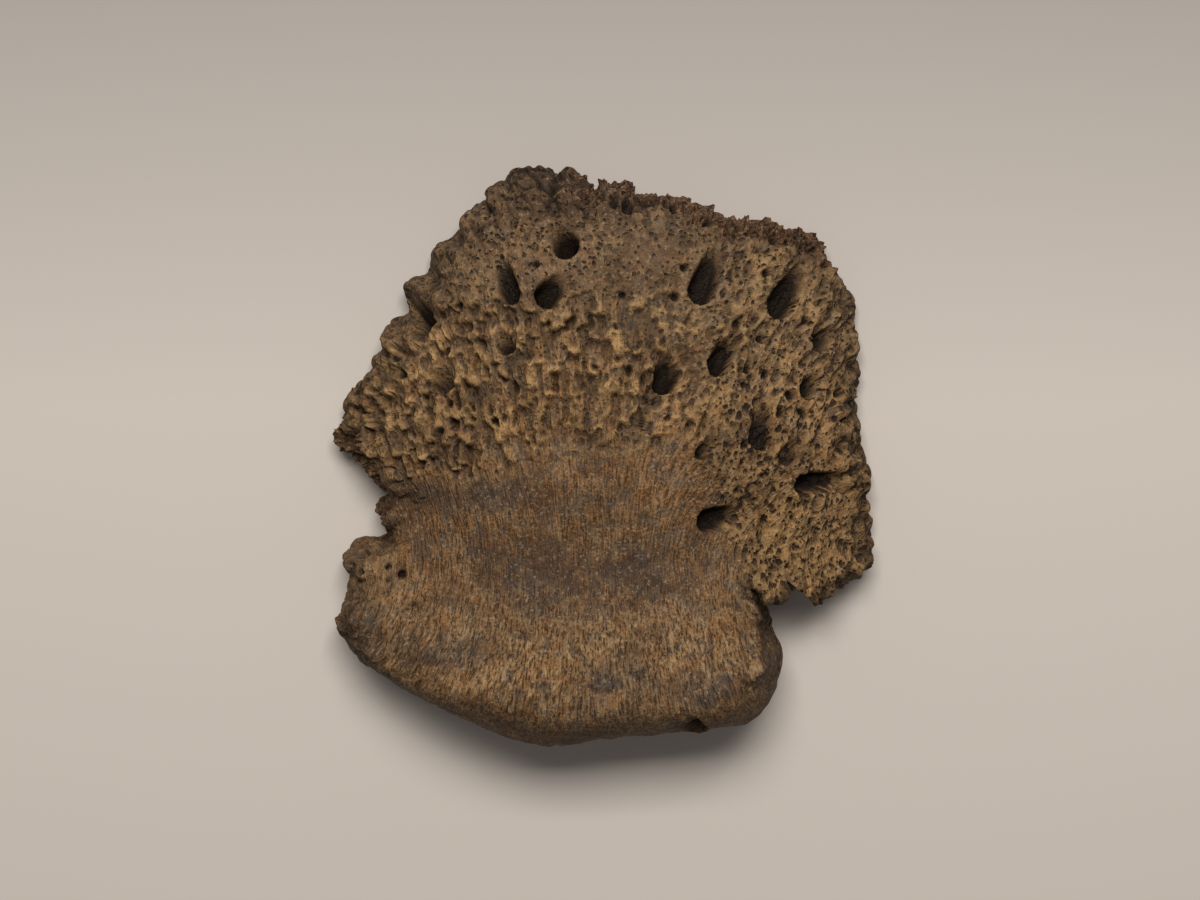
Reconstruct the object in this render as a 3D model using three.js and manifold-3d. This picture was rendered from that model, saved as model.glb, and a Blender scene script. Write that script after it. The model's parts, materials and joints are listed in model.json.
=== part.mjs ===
// Fossil ungual (hoof bone) of a horned dinosaur at life size, one solid bone that lies on its sole.
// Millimetres, +Z up. +Y runs from the joint end to the hoof edge, +X to the right as seen from above.
// The origin is on the floor, under the middle of the bone's box.
import * as THREE from "three";
import { ParametricGeometry } from "three/addons/geometries/ParametricGeometry.js";
import { mergeGeometries, mergeVertices } from "three/addons/utils/BufferGeometryUtils.js";
import Module from "manifold-3d";

const wasm = await Module();
wasm.setup();

// Driving dimensions
const WIDTH = 92.2; // across the two wings, knobs left out
const WEDGE_LENGTH = 93; // over which the back rises from the hoof edge to the joint
const JOINT_HEIGHT = 38.9; // back of the bone at the joint, above the sole, before its lip rolls over
const HOOF_HEIGHT = 13; // back of the bone at the hoof edge, above the sole
const HALF_WIDTH = WIDTH / 2; // places on the bone are counted in shares of this, both across and along

// Back of the bone: a wedge with a raised lip that rolls over, a dipped waist and sides that fall away
const LIP = { y: -0.78 * HALF_WIDTH, reach: 8, rise: 2.4 };
const LIP_ROLL = { from: -0.76 * HALF_WIDTH, to: -1.1 * HALF_WIDTH, fall: 6 };
const WAIST = { y: -0.42 * HALF_WIDTH, reach: 13, dip: 5 };
const SIDE_FALL = 15;
const SIDE_POWER = 2.2;

// Rim between back and sole: how far in it starts to round on each, the level of its outermost line
// as a share of the back's height there, and how square its upper and lower halves are
const HOOF_RIM = { backReach: 5.5, soleReach: 5, level: 0.42, backSquareness: 2.1, soleSquareness: 2.1 };
const JOINT_RIM = { backReach: 14, soleReach: 15, level: 0.5, backSquareness: 1.7, soleSquareness: 2.2 };
const JOINT_STARTS = -0.62 * HALF_WIDTH; // where the joint's rim takes over from the hoof's
const JOINT_WHOLE = -0.8 * HALF_WIDTH;
const FACET_DEPTH = 4.5; // dish of the joint surface
const DISH_POWER = 3; // how far the dish keeps from its lips

// Sole: hollow in the middle, raised rim all round, four low pads that the bone lies on
const SOLE_HOLLOW = 4.5;
const SOLE_HOLLOW_ENDS = 0.78; // share of the way out from the middle
const SOLE_RIM_LIFT = 0.9;
const PAD_REACH = 8;
const PAD_SINK = 1.5;
const SOLE_PADS = [
  [-0.5, -0.6],
  [0.34, -0.62],
  [-0.52, 0.36],
  [0.58, 0.36],
];

// Outline from above, anticlockwise from the middle of the right wing.
// The joint lip's points stand a little past the box, because the lip is dished back from them.
const RIGHT_WING_TOP = [
  [0.935, 0.11],
  [0.92, 0.485],
  [0.865, 0.61],
];
const HOOF_EDGE = [
  [0.82, 0.745],
  [0.58, 0.82],
  [0.435, 0.85],
  [0.12, 0.935],
  [-0.2, 1.02],
  [-0.285, 1.02],
];
const LEFT_WING = [
  [-0.35, 0.965],
  [-0.605, 0.715],
  [-0.725, 0.48],
  [-0.895, 0.225],
  [-0.975, 0.07],
  [-1.0, -0.01],
];
const LEFT_NOTCH = [
  [-0.905, -0.07],
  [-0.785, -0.18],
  [-0.855, -0.26],
  [-0.765, -0.365],
  [-0.895, -0.41],
];
const JOINT_LIP = [
  [-0.97, -0.435],
  [-0.94, -0.525],
  [-1.005, -0.71],
  [-0.955, -0.825],
  [-0.725, -0.98],
  [-0.38, -1.13],
  [-0.2, -1.16],
  [0.0, -1.13],
  [0.45, -1.1],
  [0.55, -1.085],
  [0.625, -1.025],
  [0.655, -0.94],
  [0.665, -0.85],
  [0.63, -0.74],
];
const RIGHT_NOTCH = [
  [0.605, -0.62],
  [0.555, -0.475],
  [0.68, -0.555],
  [0.76, -0.475],
  [0.82, -0.58],
];
const RIGHT_WING_LOW = [
  [0.92, -0.52],
  [1.0, -0.45],
  [1.0, -0.3],
];
const SOFTENING = 0.16; // share of the way round over which the notches are averaged away
const SOFT_SAMPLES = 17;
const CORE = 0.6; // the rim rounds in towards the softened outline shrunk to this share

// Upright side wall right of the joint: places on the outline with the rim's reach there, in order
const SIDE_WALL = [
  { at: [0.665, -0.87], reach: 8 },
  { at: [0.65, -0.79], reach: 4.6 },
  { at: [0.605, -0.62], reach: 3.2 },
  { at: [0.555, -0.475], reach: 1 },
  { at: [0.68, -0.555], reach: 3 },
];
const WALL_SQUARENESS = 1.1;
const WALL_RAMP = 0.015; // share of the way round over which the wall starts and ends

// Knobs along the worn hoof edge and wings, in two spacings
const KNOBS = [
  { count: 37, size: 0.7 },
  { count: 23, size: 0.6 },
];
const KNOB_MEAN = 0.6; // mean of a row of half waves, taken off so that knobs don't widen the bone

// Swellings (plus) and dents (minus) on the back: place as shares, reach and rise in millimetres
const SWELLINGS = [
  { at: [-0.88, -0.44], reach: 6, rise: 3.6 }, // ligament knob at the left of the joint
  { at: [-0.7, -0.46], reach: 4, rise: -2 }, // groove beside the knob
  { at: [-0.7, -0.22], reach: 6, rise: -2.4 }, // groove that runs in from the left notch
  { at: [0.5, -0.2], reach: 9, rise: -1.6 }, // hollow under the right wing's canals
  { at: [-0.25, 0.625], reach: 9, rise: 1.8 }, // boss under the hoof crest
];

// Blood-vessel canals that open on the back and run in towards the joint end:
// place as shares, bore and length in millimetres, heading in degrees from +X towards +Y
const CANAL_DIP = 48; // degrees down from the surface
const CANALS = [
  { at: [-0.136, 0.79], bore: 4.8, length: 7, heading: 120 },
  { at: [-0.18, 0.62], bore: 4.6, length: 7, heading: 42 },
  { at: [-0.34, 0.63], bore: 3.8, length: 6, heading: 108 },
  { at: [-0.66, 0.5], bore: 3.8, length: 5, heading: 108 },
  { at: [0.37, 0.65], bore: 4.6, length: 8, heading: 68 },
  { at: [0.67, 0.58], bore: 4.6, length: 8, heading: 55 },
  { at: [0.22, 0.31], bore: 3.8, length: 7, heading: 78 },
  { at: [0.43, 0.37], bore: 4, length: 7, heading: 58 },
  { at: [0.77, 0.25], bore: 3.6, length: 5, heading: 30 },
  { at: [0.78, -0.105], bore: 4, length: 6, heading: 3 },
  { at: [0.42, -0.21], bore: 4.6, length: 6, heading: 8 },
];
const CANAL_SIDES = 9;
const CANAL_CAP_RINGS = 2;

// Mesh density: squares along each side of the back and sole sheets, and rows round the rim
const SHEET_STEPS = 38;
const RIM_ROWS = 9;
const CURVE_SAMPLES = 1200;
const MERGE_WITHIN = 1e-3;

const BONE_COLOUR = 0x6b5338;

const bell = (t) => Math.exp(-t * t);
const smooth = (from, to, t) => THREE.MathUtils.smoothstep((t - from) / (to - from), 0, 1);
const mix = THREE.MathUtils.lerp;
const wholeTurn = (turn) => THREE.MathUtils.euclideanModulo(turn, 1);

const outline = new THREE.CatmullRomCurve3(
  [
    ...RIGHT_WING_TOP,
    ...HOOF_EDGE,
    ...LEFT_WING,
    ...LEFT_NOTCH,
    ...JOINT_LIP,
    ...RIGHT_NOTCH,
    ...RIGHT_WING_LOW,
  ].map(([x, y]) => new THREE.Vector3(x * HALF_WIDTH, y * HALF_WIDTH, 0)),
  true,
  "centripetal",
);
outline.arcLengthDivisions = CURVE_SAMPLES;

// Share of the way round at which the outline passes nearest to a place.
function turnOf(at) {
  const gaps = outline.getSpacedPoints(CURVE_SAMPLES).map(({ x, y }) => away(x, y, at));
  return gaps.indexOf(Math.min(...gaps)) / CURVE_SAMPLES;
}

const WALL_TURNS = SIDE_WALL.map(({ at }) => turnOf(at));
const [WALL_START, WALL_END] = [WALL_TURNS[0], WALL_TURNS.at(-1)];

// 1 between the side wall's ends, 0 elsewhere.
function wallShare(turn) {
  return smooth(WALL_START - WALL_RAMP, WALL_START, turn) * smooth(WALL_END + WALL_RAMP, WALL_END, turn);
}

// Reach of the rim along the side wall, in straight steps from place to place.
function wallReach(turn) {
  const held = THREE.MathUtils.clamp(turn, WALL_START, WALL_END);
  const next = Math.max(
    1,
    WALL_TURNS.findIndex((place) => place >= held),
  );
  const share = (held - WALL_TURNS[next - 1]) / (WALL_TURNS[next] - WALL_TURNS[next - 1]);
  return mix(SIDE_WALL[next - 1].reach, SIDE_WALL[next].reach, share);
}

// 1 on the joint end, 0 on the hoof, and between the two near the notches.
function jointShare(y) {
  return smooth(JOINT_STARTS, JOINT_WHOLE, y);
}

// Point of the outline at a share of the way round it, with knobs on the hoof part and none at the joint.
function outlinePoint(turn) {
  const point = outline.getPointAt(wholeTurn(turn));
  const knob = KNOBS.reduce((sum, { count, size }) => {
    return sum + size * (Math.abs(Math.sin(Math.PI * count * turn)) - KNOB_MEAN);
  }, 0);
  const grown = 1 + ((1 - jointShare(point.y)) * knob) / point.length();
  return point.multiplyScalar(grown);
}

// The outline with its notches averaged away.
function softPoint(turn) {
  const sum = new THREE.Vector3();
  for (let i = 0; i < SOFT_SAMPLES; i++) {
    sum.add(outlinePoint(turn + SOFTENING * (i / (SOFT_SAMPLES - 1) - 0.5)));
  }
  return sum.divideScalar(SOFT_SAMPLES);
}

// The rim at a share of the way round: its outermost point, the way in, and its sizes blended from hoof to joint
// and, on the back's side, to the side wall.
function rimAt(turn) {
  const edge = outlinePoint(turn);
  const soft = softPoint(turn);
  const joint = jointShare(edge.y);
  const wall = wallShare(wholeTurn(turn));
  const blended = (name) => mix(HOOF_RIM[name], JOINT_RIM[name], joint);
  const backSquareness = mix(blended("backSquareness"), WALL_SQUARENESS, wall);
  const backReach = mix(blended("backReach"), wallReach(wholeTurn(turn)), wall);
  return {
    edge,
    soft,
    joint,
    inward: soft.clone().multiplyScalar(CORE).sub(edge).normalize(),
    height: backHeight(edge.x, edge.y) * blended("level"),
    back: { reach: backReach, power: 2 / backSquareness, limit: backHeight },
    sole: { reach: blended("soleReach"), power: 2 / blended("soleSquareness"), limit: soleHeight },
  };
}

// Distance on the plan from a place that is given as shares.
function away(x, y, [acrossShare, alongShare]) {
  return Math.hypot(x - acrossShare * HALF_WIDTH, y - alongShare * HALF_WIDTH);
}

// Height of the back: a wedge from hoof to joint, less a fall towards the sides, with swellings on it.
function backHeight(x, y) {
  const ridge =
    mix(HOOF_HEIGHT, JOINT_HEIGHT, 0.5 - y / WEDGE_LENGTH) +
    LIP.rise * bell((y - LIP.y) / LIP.reach) -
    LIP_ROLL.fall * smooth(LIP_ROLL.from, LIP_ROLL.to, y) -
    WAIST.dip * bell((y - WAIST.y) / WAIST.reach);
  const fall = SIDE_FALL * Math.abs(x / HALF_WIDTH) ** SIDE_POWER;
  const swell = SWELLINGS.reduce((sum, { at, reach, rise }) => sum + rise * bell(away(x, y, at) / reach), 0);
  return ridge - fall + swell;
}

// Height of the sole: hollow in the middle, lifted at the rim and flat at 0 on the pads.
function soleHeight(x, y) {
  const fromMiddle = Math.hypot(x, y) / HALF_WIDTH;
  const hollow = SOLE_HOLLOW * (1 - smooth(0, SOLE_HOLLOW_ENDS, fromMiddle));
  const pads = SOLE_PADS.reduce((sum, at) => sum + PAD_SINK * bell(away(x, y, at) / PAD_REACH), 0);
  return Math.max(0, SOLE_RIM_LIFT + hollow - pads);
}

// Square to disc: rings of the square become rings of the disc, evenly spaced round each.
function squareToDisc(a, b) {
  if (a === 0 && b === 0) return { share: 0, turn: 0 };
  const side = Math.abs(a) > Math.abs(b);
  const along = side ? b / a : a / b;
  const quarter = side ? along : 2 - along;
  const facing = (side ? a : b) < 0 ? 4 : 0;
  return { share: Math.max(Math.abs(a), Math.abs(b)), turn: (quarter + facing) / 8 };
}

// A sheet is the square grid spread over the plan, up to where the rim's rounding starts. Its rings take
// the softened outline's shape near the middle and the rim's own shape at the edge.
function sheetPoint(u, v, half, target) {
  const { share, turn } = squareToDisc(2 * u - 1, 2 * v - 1);
  const rim = rimAt(turn);
  const { reach, limit } = rim[half];
  const shape = rim.edge.addScaledVector(rim.inward, reach).sub(rim.soft).multiplyScalar(share).add(rim.soft);
  const { x, y } = shape.multiplyScalar(share);
  target.set(x, y, limit(x, y));
}

// The rim is a half superellipse from the back's edge (v 0) to the sole's edge (v 1), dished at the joint.
function rimPoint(u, v, target) {
  const rim = rimAt(u);
  const angle = Math.PI * (0.5 - v);
  const out = Math.max(0, Math.cos(angle));
  const { reach, power, limit } = angle > 0 ? rim.back : rim.sole;
  const { x, y } = rim.edge.addScaledVector(rim.inward, reach * (1 - out ** power));
  const dish = FACET_DEPTH * rim.joint * out ** DISH_POWER;
  target.set(x, y + dish, mix(rim.height, limit(x, y), Math.abs(Math.sin(angle)) ** power));
}

// Back, rim and sole joined into one closed surface. The rim and the sole run the other way round, to face out.
function boneSurface() {
  const pieces = [
    new ParametricGeometry((u, v, target) => sheetPoint(u, v, "back", target), SHEET_STEPS, SHEET_STEPS),
    new ParametricGeometry((u, v, target) => rimPoint(1 - u, v, target), 4 * SHEET_STEPS, RIM_ROWS),
    new ParametricGeometry((u, v, target) => sheetPoint(1 - u, v, "sole", target), SHEET_STEPS, SHEET_STEPS),
  ];
  return solidOf(mergeGeometries(pieces));
}

// One canal: a round-ended bore that slopes down from the surface towards the joint end.
function canal({ at, bore, length, heading }) {
  const [x, y] = [at[0] * HALF_WIDTH, at[1] * HALF_WIDTH];
  const geometry = new THREE.CapsuleGeometry(bore / 2, 2 * length, CANAL_CAP_RINGS, CANAL_SIDES);
  geometry.rotateX(Math.PI / 2); // axis on +Z
  geometry.rotateY(THREE.MathUtils.degToRad(90 - CANAL_DIP)); // leaning towards +X
  geometry.rotateZ(THREE.MathUtils.degToRad(heading));
  geometry.translate(x, y, backHeight(x, y));
  return solidOf(geometry);
}

// A geometry with only positions, shared corners merged, as a solid for joining and cutting.
function solidOf(geometry) {
  geometry.deleteAttribute("normal");
  geometry.deleteAttribute("uv");
  const merged = mergeVertices(geometry, MERGE_WITHIN);
  return new wasm.Manifold(
    new wasm.Mesh({
      numProp: 3,
      vertProperties: merged.getAttribute("position").array,
      triVerts: new Uint32Array(merged.index.array),
    }),
  );
}

function geometryOf(solid) {
  const { vertProperties, triVerts } = solid.getMesh();
  const geometry = new THREE.BufferGeometry();
  geometry.setAttribute("position", new THREE.BufferAttribute(vertProperties, 3));
  geometry.setIndex(new THREE.BufferAttribute(triVerts, 1));
  geometry.computeVertexNormals();
  return geometry;
}

// The whole bone, with its box centred over the origin and its pads on the floor.
function boneGeometry() {
  const bored = CANALS.reduce((bone, hole) => bone.subtract(canal(hole)), boneSurface());
  const geometry = geometryOf(bored);
  geometry.computeBoundingBox();
  const { min, max } = geometry.boundingBox;
  return geometry.translate(-(min.x + max.x) / 2, -(min.y + max.y) / 2, -min.z);
}

const bone = new THREE.Mesh(
  boneGeometry(),
  new THREE.MeshStandardMaterial({ color: BONE_COLOUR, roughness: 0.85, metalness: 0 }),
);
bone.name = "ungual_bone";

const ungual = new THREE.Group();
ungual.add(bone);

export default ungual;
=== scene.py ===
"""Fossil hoof bone of a horned dinosaur, lying on its sole: the finished bone and a plain stage for it."""

import itertools
import json
import math
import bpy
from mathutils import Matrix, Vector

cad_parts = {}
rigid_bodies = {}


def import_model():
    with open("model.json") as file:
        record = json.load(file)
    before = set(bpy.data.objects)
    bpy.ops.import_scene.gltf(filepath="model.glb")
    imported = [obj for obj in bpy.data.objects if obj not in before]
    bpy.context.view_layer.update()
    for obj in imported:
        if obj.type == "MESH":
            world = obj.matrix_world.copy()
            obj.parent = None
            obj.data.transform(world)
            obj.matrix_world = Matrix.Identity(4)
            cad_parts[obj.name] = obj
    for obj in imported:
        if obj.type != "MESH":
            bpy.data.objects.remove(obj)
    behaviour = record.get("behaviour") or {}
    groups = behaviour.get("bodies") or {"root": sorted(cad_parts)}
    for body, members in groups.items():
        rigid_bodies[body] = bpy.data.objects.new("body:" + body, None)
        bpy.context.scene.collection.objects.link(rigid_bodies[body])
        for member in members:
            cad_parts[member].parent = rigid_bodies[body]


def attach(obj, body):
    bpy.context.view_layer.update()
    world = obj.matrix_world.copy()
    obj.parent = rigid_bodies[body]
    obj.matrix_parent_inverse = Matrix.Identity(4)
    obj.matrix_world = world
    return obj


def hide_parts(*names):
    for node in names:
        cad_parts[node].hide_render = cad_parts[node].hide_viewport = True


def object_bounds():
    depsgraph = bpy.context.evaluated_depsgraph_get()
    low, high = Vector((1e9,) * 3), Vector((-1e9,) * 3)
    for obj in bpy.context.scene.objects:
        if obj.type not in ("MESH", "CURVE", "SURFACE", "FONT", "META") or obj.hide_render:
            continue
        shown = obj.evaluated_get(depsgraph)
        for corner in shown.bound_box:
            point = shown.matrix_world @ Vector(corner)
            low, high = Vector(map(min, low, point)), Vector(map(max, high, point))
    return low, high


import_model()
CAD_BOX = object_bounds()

from types import SimpleNamespace

import bpy
import numpy as np
from bpy.props import FloatProperty, FloatVectorProperty, IntProperty, PointerProperty
from bpy.types import Operator, Panel, PropertyGroup

bl_info = {
    "name": "Fossil Hoof Bone",
    "version": (1, 0, 0),
    "blender": (4, 5, 0),
    "location": "View3D > Sidebar > Hoof Bone",
    "description": "Builds a fossil hoof bone with its canals, pores and fibres, and a stage to show it on",
    "category": "Add Mesh",
}

MM = 0.001
CAD_SIZE = CAD_BOX[1] - CAD_BOX[0]
# The outline without its knobs is this share of the box's width. The wedge's line at the joint, where the lip
# rolls over below it, is this share of the box's height
OUTLINE_SHARE, WEDGE_SHARE = 0.9897, 1.0352

# Outline from above, anticlockwise from the middle of the right wing. Places are in shares of half the width
RIGHT_WING_TOP = ((0.935, 0.11), (0.935, 0.30), (0.92, 0.485), (0.865, 0.61))
HOOF_EDGE = (
    (0.82, 0.745),
    (0.70, 0.795),
    (0.58, 0.82),
    (0.435, 0.85),
    (0.29, 0.915),
    (0.12, 0.935),
    (-0.005, 0.985),
    (-0.027, 0.945),
    (-0.065, 0.98),
    (-0.20, 1.0),
    (-0.285, 1.005),
)
LEFT_WING = (
    (-0.35, 0.965),
    (-0.515, 0.815),
    (-0.605, 0.715),
    (-0.68, 0.605),
    (-0.725, 0.48),
    (-0.80, 0.375),
    (-0.895, 0.225),
    (-0.975, 0.07),
    (-1.0, -0.01),
)
LEFT_NOTCH = (
    (-0.905, -0.07),
    (-0.82, -0.15),
    (-0.785, -0.18),
    (-0.855, -0.26),
    (-0.785, -0.36),
    (-0.895, -0.41),
)
JOINT_LIP = (
    (-0.97, -0.435),
    (-0.94, -0.525),
    (-0.965, -0.61),
    (-1.005, -0.71),
    (-0.955, -0.825),
    (-0.725, -0.98),
    (-0.38, -1.13),
    (-0.20, -1.16),
    (0.0, -1.13),
    (0.45, -1.10),
    (0.55, -1.085),
    (0.625, -1.025),
    (0.655, -0.94),
    (0.665, -0.85),
    (0.63, -0.74),
)
RIGHT_NOTCH = ((0.605, -0.62), (0.555, -0.475), (0.68, -0.555), (0.76, -0.475), (0.82, -0.58), (0.92, -0.52))
RIGHT_WING_LOW = ((1.0, -0.45), (1.0, -0.30), (0.98, -0.11))
KNOTS = np.array(
    RIGHT_WING_TOP + HOOF_EDGE + LEFT_WING + LEFT_NOTCH + JOINT_LIP + RIGHT_NOTCH + RIGHT_WING_LOW
)
# Points between two knots, share of the way round over which the outline is softened, share of the softened
# outline that the rim faces, and how much denser the grid is to the hoof
SPAN_SAMPLES, SOFTENING, CORE, HOOF_DENSITY = 40, 0.16, 0.6, 0.2

# Back of the bone: places in shares, the rest in millimetres
HOOF_END, JOINT_END = 1.01, -1.01
LIP_PLACE, LIP_REACH, LIP_RISE = -0.78, 8.0, 2.4
LIP_ROLL, LIP_FALL = (-0.76, -1.1), 6.0
WAIST_PLACE, WAIST_REACH, WAIST_DIP = -0.42, 13.0, 5.0
SIDE_POWER = 2.2

# Swellings (plus) and dents (minus) on the back: place, then reach and rise in millimetres
LUMP_PLACE, LUMP_REACH, LUMP_RISE = (-0.88, -0.44), 6.0, 3.6
SWELLINGS = (
    (*LUMP_PLACE, LUMP_REACH, LUMP_RISE),
    (-0.70, -0.46, 4.0, -2.0),
    (-0.70, -0.22, 6.0, -2.4),
    (0.50, -0.20, 9.0, -1.6),
    (-0.25, 0.625, 9.0, 1.8),
)

# Fibres fan out both ways from here: place in shares, lengths of the fan in millimetres
FAN_PLACE = -0.37
LEFT_FAN, RIGHT_FAN, JOINT_FAN, WEB_FAN = 28.0, 12.0, 30.0, 46.0

# Rim between back and sole: (hoof, joint) pairs, blended along the outline
BACK_REACH = (5.5, 14.0)
SOLE_REACH = (5.0, 15.0)
RIM_LEVEL = (0.42, 0.5)
BACK_SQUARENESS = (2.1, 1.7)
SOLE_SQUARENESS = (2.1, 2.2)
JOINT_STARTS, JOINT_WHOLE = -0.62, -0.8
FACET_DEPTH = 4.5
DISH_POWER = 3.0

# Upright side wall right of the joint: places on the outline with the rim's reach in millimetres, in order
SIDE_WALL = (
    (0.665, -0.87, 8.0),
    (0.65, -0.79, 4.6),
    (0.605, -0.62, 3.2),
    (0.555, -0.475, 1.0),
    (0.68, -0.555, 3.0),
)
WALL_SQUARENESS, WALL_RAMP, WALL_FADE = 1.1, 0.015, (0.8, -0.2)

# Sole, in millimetres and shares
SOLE_HOLLOW, SOLE_HOLLOW_ENDS, SOLE_RIM_LIFT = 4.5, 0.78, 0.9
PAD_REACH, PAD_SINK = 8.0, 1.5
SOLE_PADS = ((-0.5, -0.6), (0.34, -0.62), (-0.52, 0.36), (0.58, 0.36))

# Blood-vessel canals: place, then half width, ramp length and depth in millimetres, ramp heading in degrees
CANALS = (
    (-0.136, 0.772, 2.4, 3.0, 7.0, 120),
    (-0.195, 0.60, 2.4, 5.0, 6.0, 42),
    (-0.335, 0.60, 1.9, 7.5, 5.0, 108),
    (-0.35, 0.414, 1.6, 4.2, 2.4, 100),
    (-0.655, 0.48, 2.2, 5.0, 4.0, 108),
    (-0.575, 0.273, 2.0, 5.0, 2.0, 100),
    (0.355, 0.606, 2.4, 9.5, 5.5, 68),
    (0.645, 0.545, 2.5, 9.0, 5.5, 55),
    (0.215, 0.287, 1.9, 6.0, 6.0, 78),
    (0.415, 0.345, 2.0, 6.5, 6.0, 58),
    (0.80, 0.40, 1.8, 4.0, 3.5, 38),
    (0.75, 0.238, 1.8, 3.8, 3.6, 30),
    (0.567, 0.081, 2.1, 8.5, 3.2, 84),
    (0.355, 0.04, 1.2, 5.0, 2.6, 35),
    (0.735, -0.105, 2.0, 10.0, 4.5, 3),
    (0.39, -0.215, 2.4, 6.5, 4.4, 8),
    (0.67, 0.01, 1.9, 4.0, 1.8, 100),
    (0.33, -0.935, 2.0, 4.0, 3.0, 195),
)
# Lean into the bone, drop of the side and place of the lip in half widths, rise of the lip in millimetres
CANAL_LEAN, CANAL_SIDE = math.radians(30), (1.0, 0.6)
CANAL_LIP_PLACE, CANAL_LIP_WIDTH, CANAL_LIP = 1.2, 0.25, 0.35
# Depths in millimetres over which the other relief fades in a canal, and the share that fades
CANAL_CALM_DEPTH, CANAL_CALM = (0.3, 1.5), 0.75

# Single pits: place, then radius in millimetres
WING_PITS = (
    (0.59, 0.30, 0.8),
    (0.51, 0.27, 0.7),
    (0.52, 0.32, 0.7),
    (0.68, 0.22, 0.9),
    (0.64, 0.16, 0.8),
    (0.72, 0.16, 0.8),
    (0.85, 0.21, 0.8),
    (0.90, 0.17, 0.7),
    (0.51, 0.06, 0.8),
    (0.31, 0.14, 0.6),
    (0.18, 0.22, 0.6),
    (0.26, 0.585, 0.8),
    (0.29, 0.685, 0.7),
    (0.74, 0.475, 0.7),
    (0.48, 0.485, 0.7),
    (0.57, 0.425, 0.7),
    (0.59, 0.655, 0.8),
    (0.07, 0.595, 0.7),
    (-0.24, 0.705, 0.7),
    (-0.42, 0.88, 0.7),
    (-0.52, 0.545, 0.7),
    (-0.73, 0.29, 0.9),
    (-0.76, 0.34, 0.8),
    (-0.89, 0.14, 0.9),
    (-0.59, 0.10, 0.8),
    (-0.55, 0.20, 0.7),
    (-0.39, 0.15, 0.7),
)
LUMP_PITS = (
    (-0.90, -0.47, 0.8),
    (-0.885, -0.43, 0.6),
    (-0.925, -0.425, 0.6),
    (-0.785, -0.41, 0.6),
    (-0.735, -0.44, 0.8),
    (-0.785, -0.455, 0.5),
    (-0.695, -0.53, 0.5),
    (-0.655, -0.515, 0.5),
)
EDGE_CAVES = ((0.16, 0.92, 1.4), (0.09, 0.90, 1.3), (0.04, 0.91, 1.0), (0.25, 0.90, 0.9), (0.62, 0.77, 0.8))
# Depth and drop of the side in radii, and the least share of the surface's direction that is upward
PIT_DEPTH, PIT_SIDE, PIT_FACING = 1.8, (1.15, 0.4), 0.1

# Largest knobs (plus) and nicks (minus) of the wings' rims: place, then radius and rise in millimetres
EDGE_MARKS = (
    (-0.53, 0.765, 1.5, -1.5),
    (-0.63, 0.635, 1.6, -1.6),
    (-0.735, 0.495, 1.5, -1.5),
    (-0.83, 0.36, 1.5, -1.2),
    (-0.59, 0.70, 2.2, 0.4),
    (-0.69, 0.56, 2.6, 1.2),
    (-0.79, 0.43, 2.6, 1.8),
    (0.93, 0.555, 1.3, -1.3),
    (0.96, 0.335, 1.2, -1.2),
    (1.0, -0.20, 1.2, -1.2),
)

# Thin raised crests on the back: both ends
CRESTS = (
    ((0.43, 0.335), (0.31, 0.09)),
    ((0.66, 0.07), (0.54, -0.07)),
    ((0.66, -0.02), (0.71, -0.16)),
)
CREST_HALF_WIDTH, CREST_RISE = 0.4, 0.9

# Blue-grey stains: place, then reach across and along in millimetres
STAINS = (
    (-0.60, -0.14, 6.0, 2.2),
    (-0.36, -0.11, 6.0, 2.5),
    (-0.20, -0.425, 9.0, 5.0),
    (0.10, -0.405, 8.0, 5.0),
    (-0.93, -0.67, 6.0, 6.5),
    (-0.55, -0.665, 6.0, 2.0),
    (0.05, -0.725, 6.0, 2.5),
    (0.35, -0.765, 6.0, 2.5),
)
# Dark brown patches between the canals of the right wing, partly the bone's own tone and partly painted
# shade, given in the same way
DUSKS = (
    (0.44, 0.02, 4.0, 5.0),
    (0.54, 0.11, 3.5, 5.0),
    (0.68, -0.04, 4.0, 4.0),
    (0.45, -0.15, 5.0, 4.0),
)
STAIN_STRENGTH, STAIN_SWAY, STAIN_CELL = 1.3, 0.8, 3.0

# Factors and shifts that scatter the bits of whole numbers
BIT_MIXING = ((0x9E3779B1, 15), (0x85EBCA77, 13))


def smooth(start, end, value):
    """Smooth step: 0 at start and 1 at end, level at both ends. Start may be the larger."""
    share = np.clip((value - start) / (end - start), 0.0, 1.0)
    return share * share * (3.0 - 2.0 * share)


def bell(value):
    """Bell curve: 1 at zero, falling to nothing by about two on either side."""
    return np.exp(-value * value)


def dome(distance):
    """Half sphere of height 1 over a round patch of radius 1."""
    return np.sqrt(np.clip(1.0 - distance**2, 0.0, 1.0))


def mix(first, second, share):
    """Straight blend from the first value to the second."""
    return first + (second - first) * share


def lattice_random(cells, salt):
    """One number from 0 to 1 for each row of whole numbers, made by multiplying and folding their bits."""
    mixed = np.full(len(cells), salt, dtype=np.uint32)
    for column in cells.T:
        mixed ^= column.astype(np.int64).astype(np.uint32)
        for factor, shift in BIT_MIXING:
            mixed *= np.uint32(factor)
            mixed ^= mixed >> np.uint32(shift)
    return mixed / 2.0**32


def lattice_spots(cells, salt):
    """One point in each cell of a lattice."""
    return cells + np.stack([lattice_random(cells, salt + axis) for axis in range(cells.shape[1])], axis=1)


def waves(points, salt, octaves):
    """Smooth random waves from about -1 to 1: lattice numbers blended over each cell, with finer octaves."""
    total = np.zeros(len(points))
    for octave in range(octaves):
        scaled = points * 2.0**octave
        low = np.floor(scaled)
        part = smooth(0.0, 1.0, scaled - low)
        for corner in itertools.product((0, 1), repeat=points.shape[1]):
            weight = np.prod(np.where(corner, part, 1.0 - part), axis=1)
            total += weight * (2.0 * lattice_random(low + corner, salt + octave) - 1.0) / 2.0**octave
    return total


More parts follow.
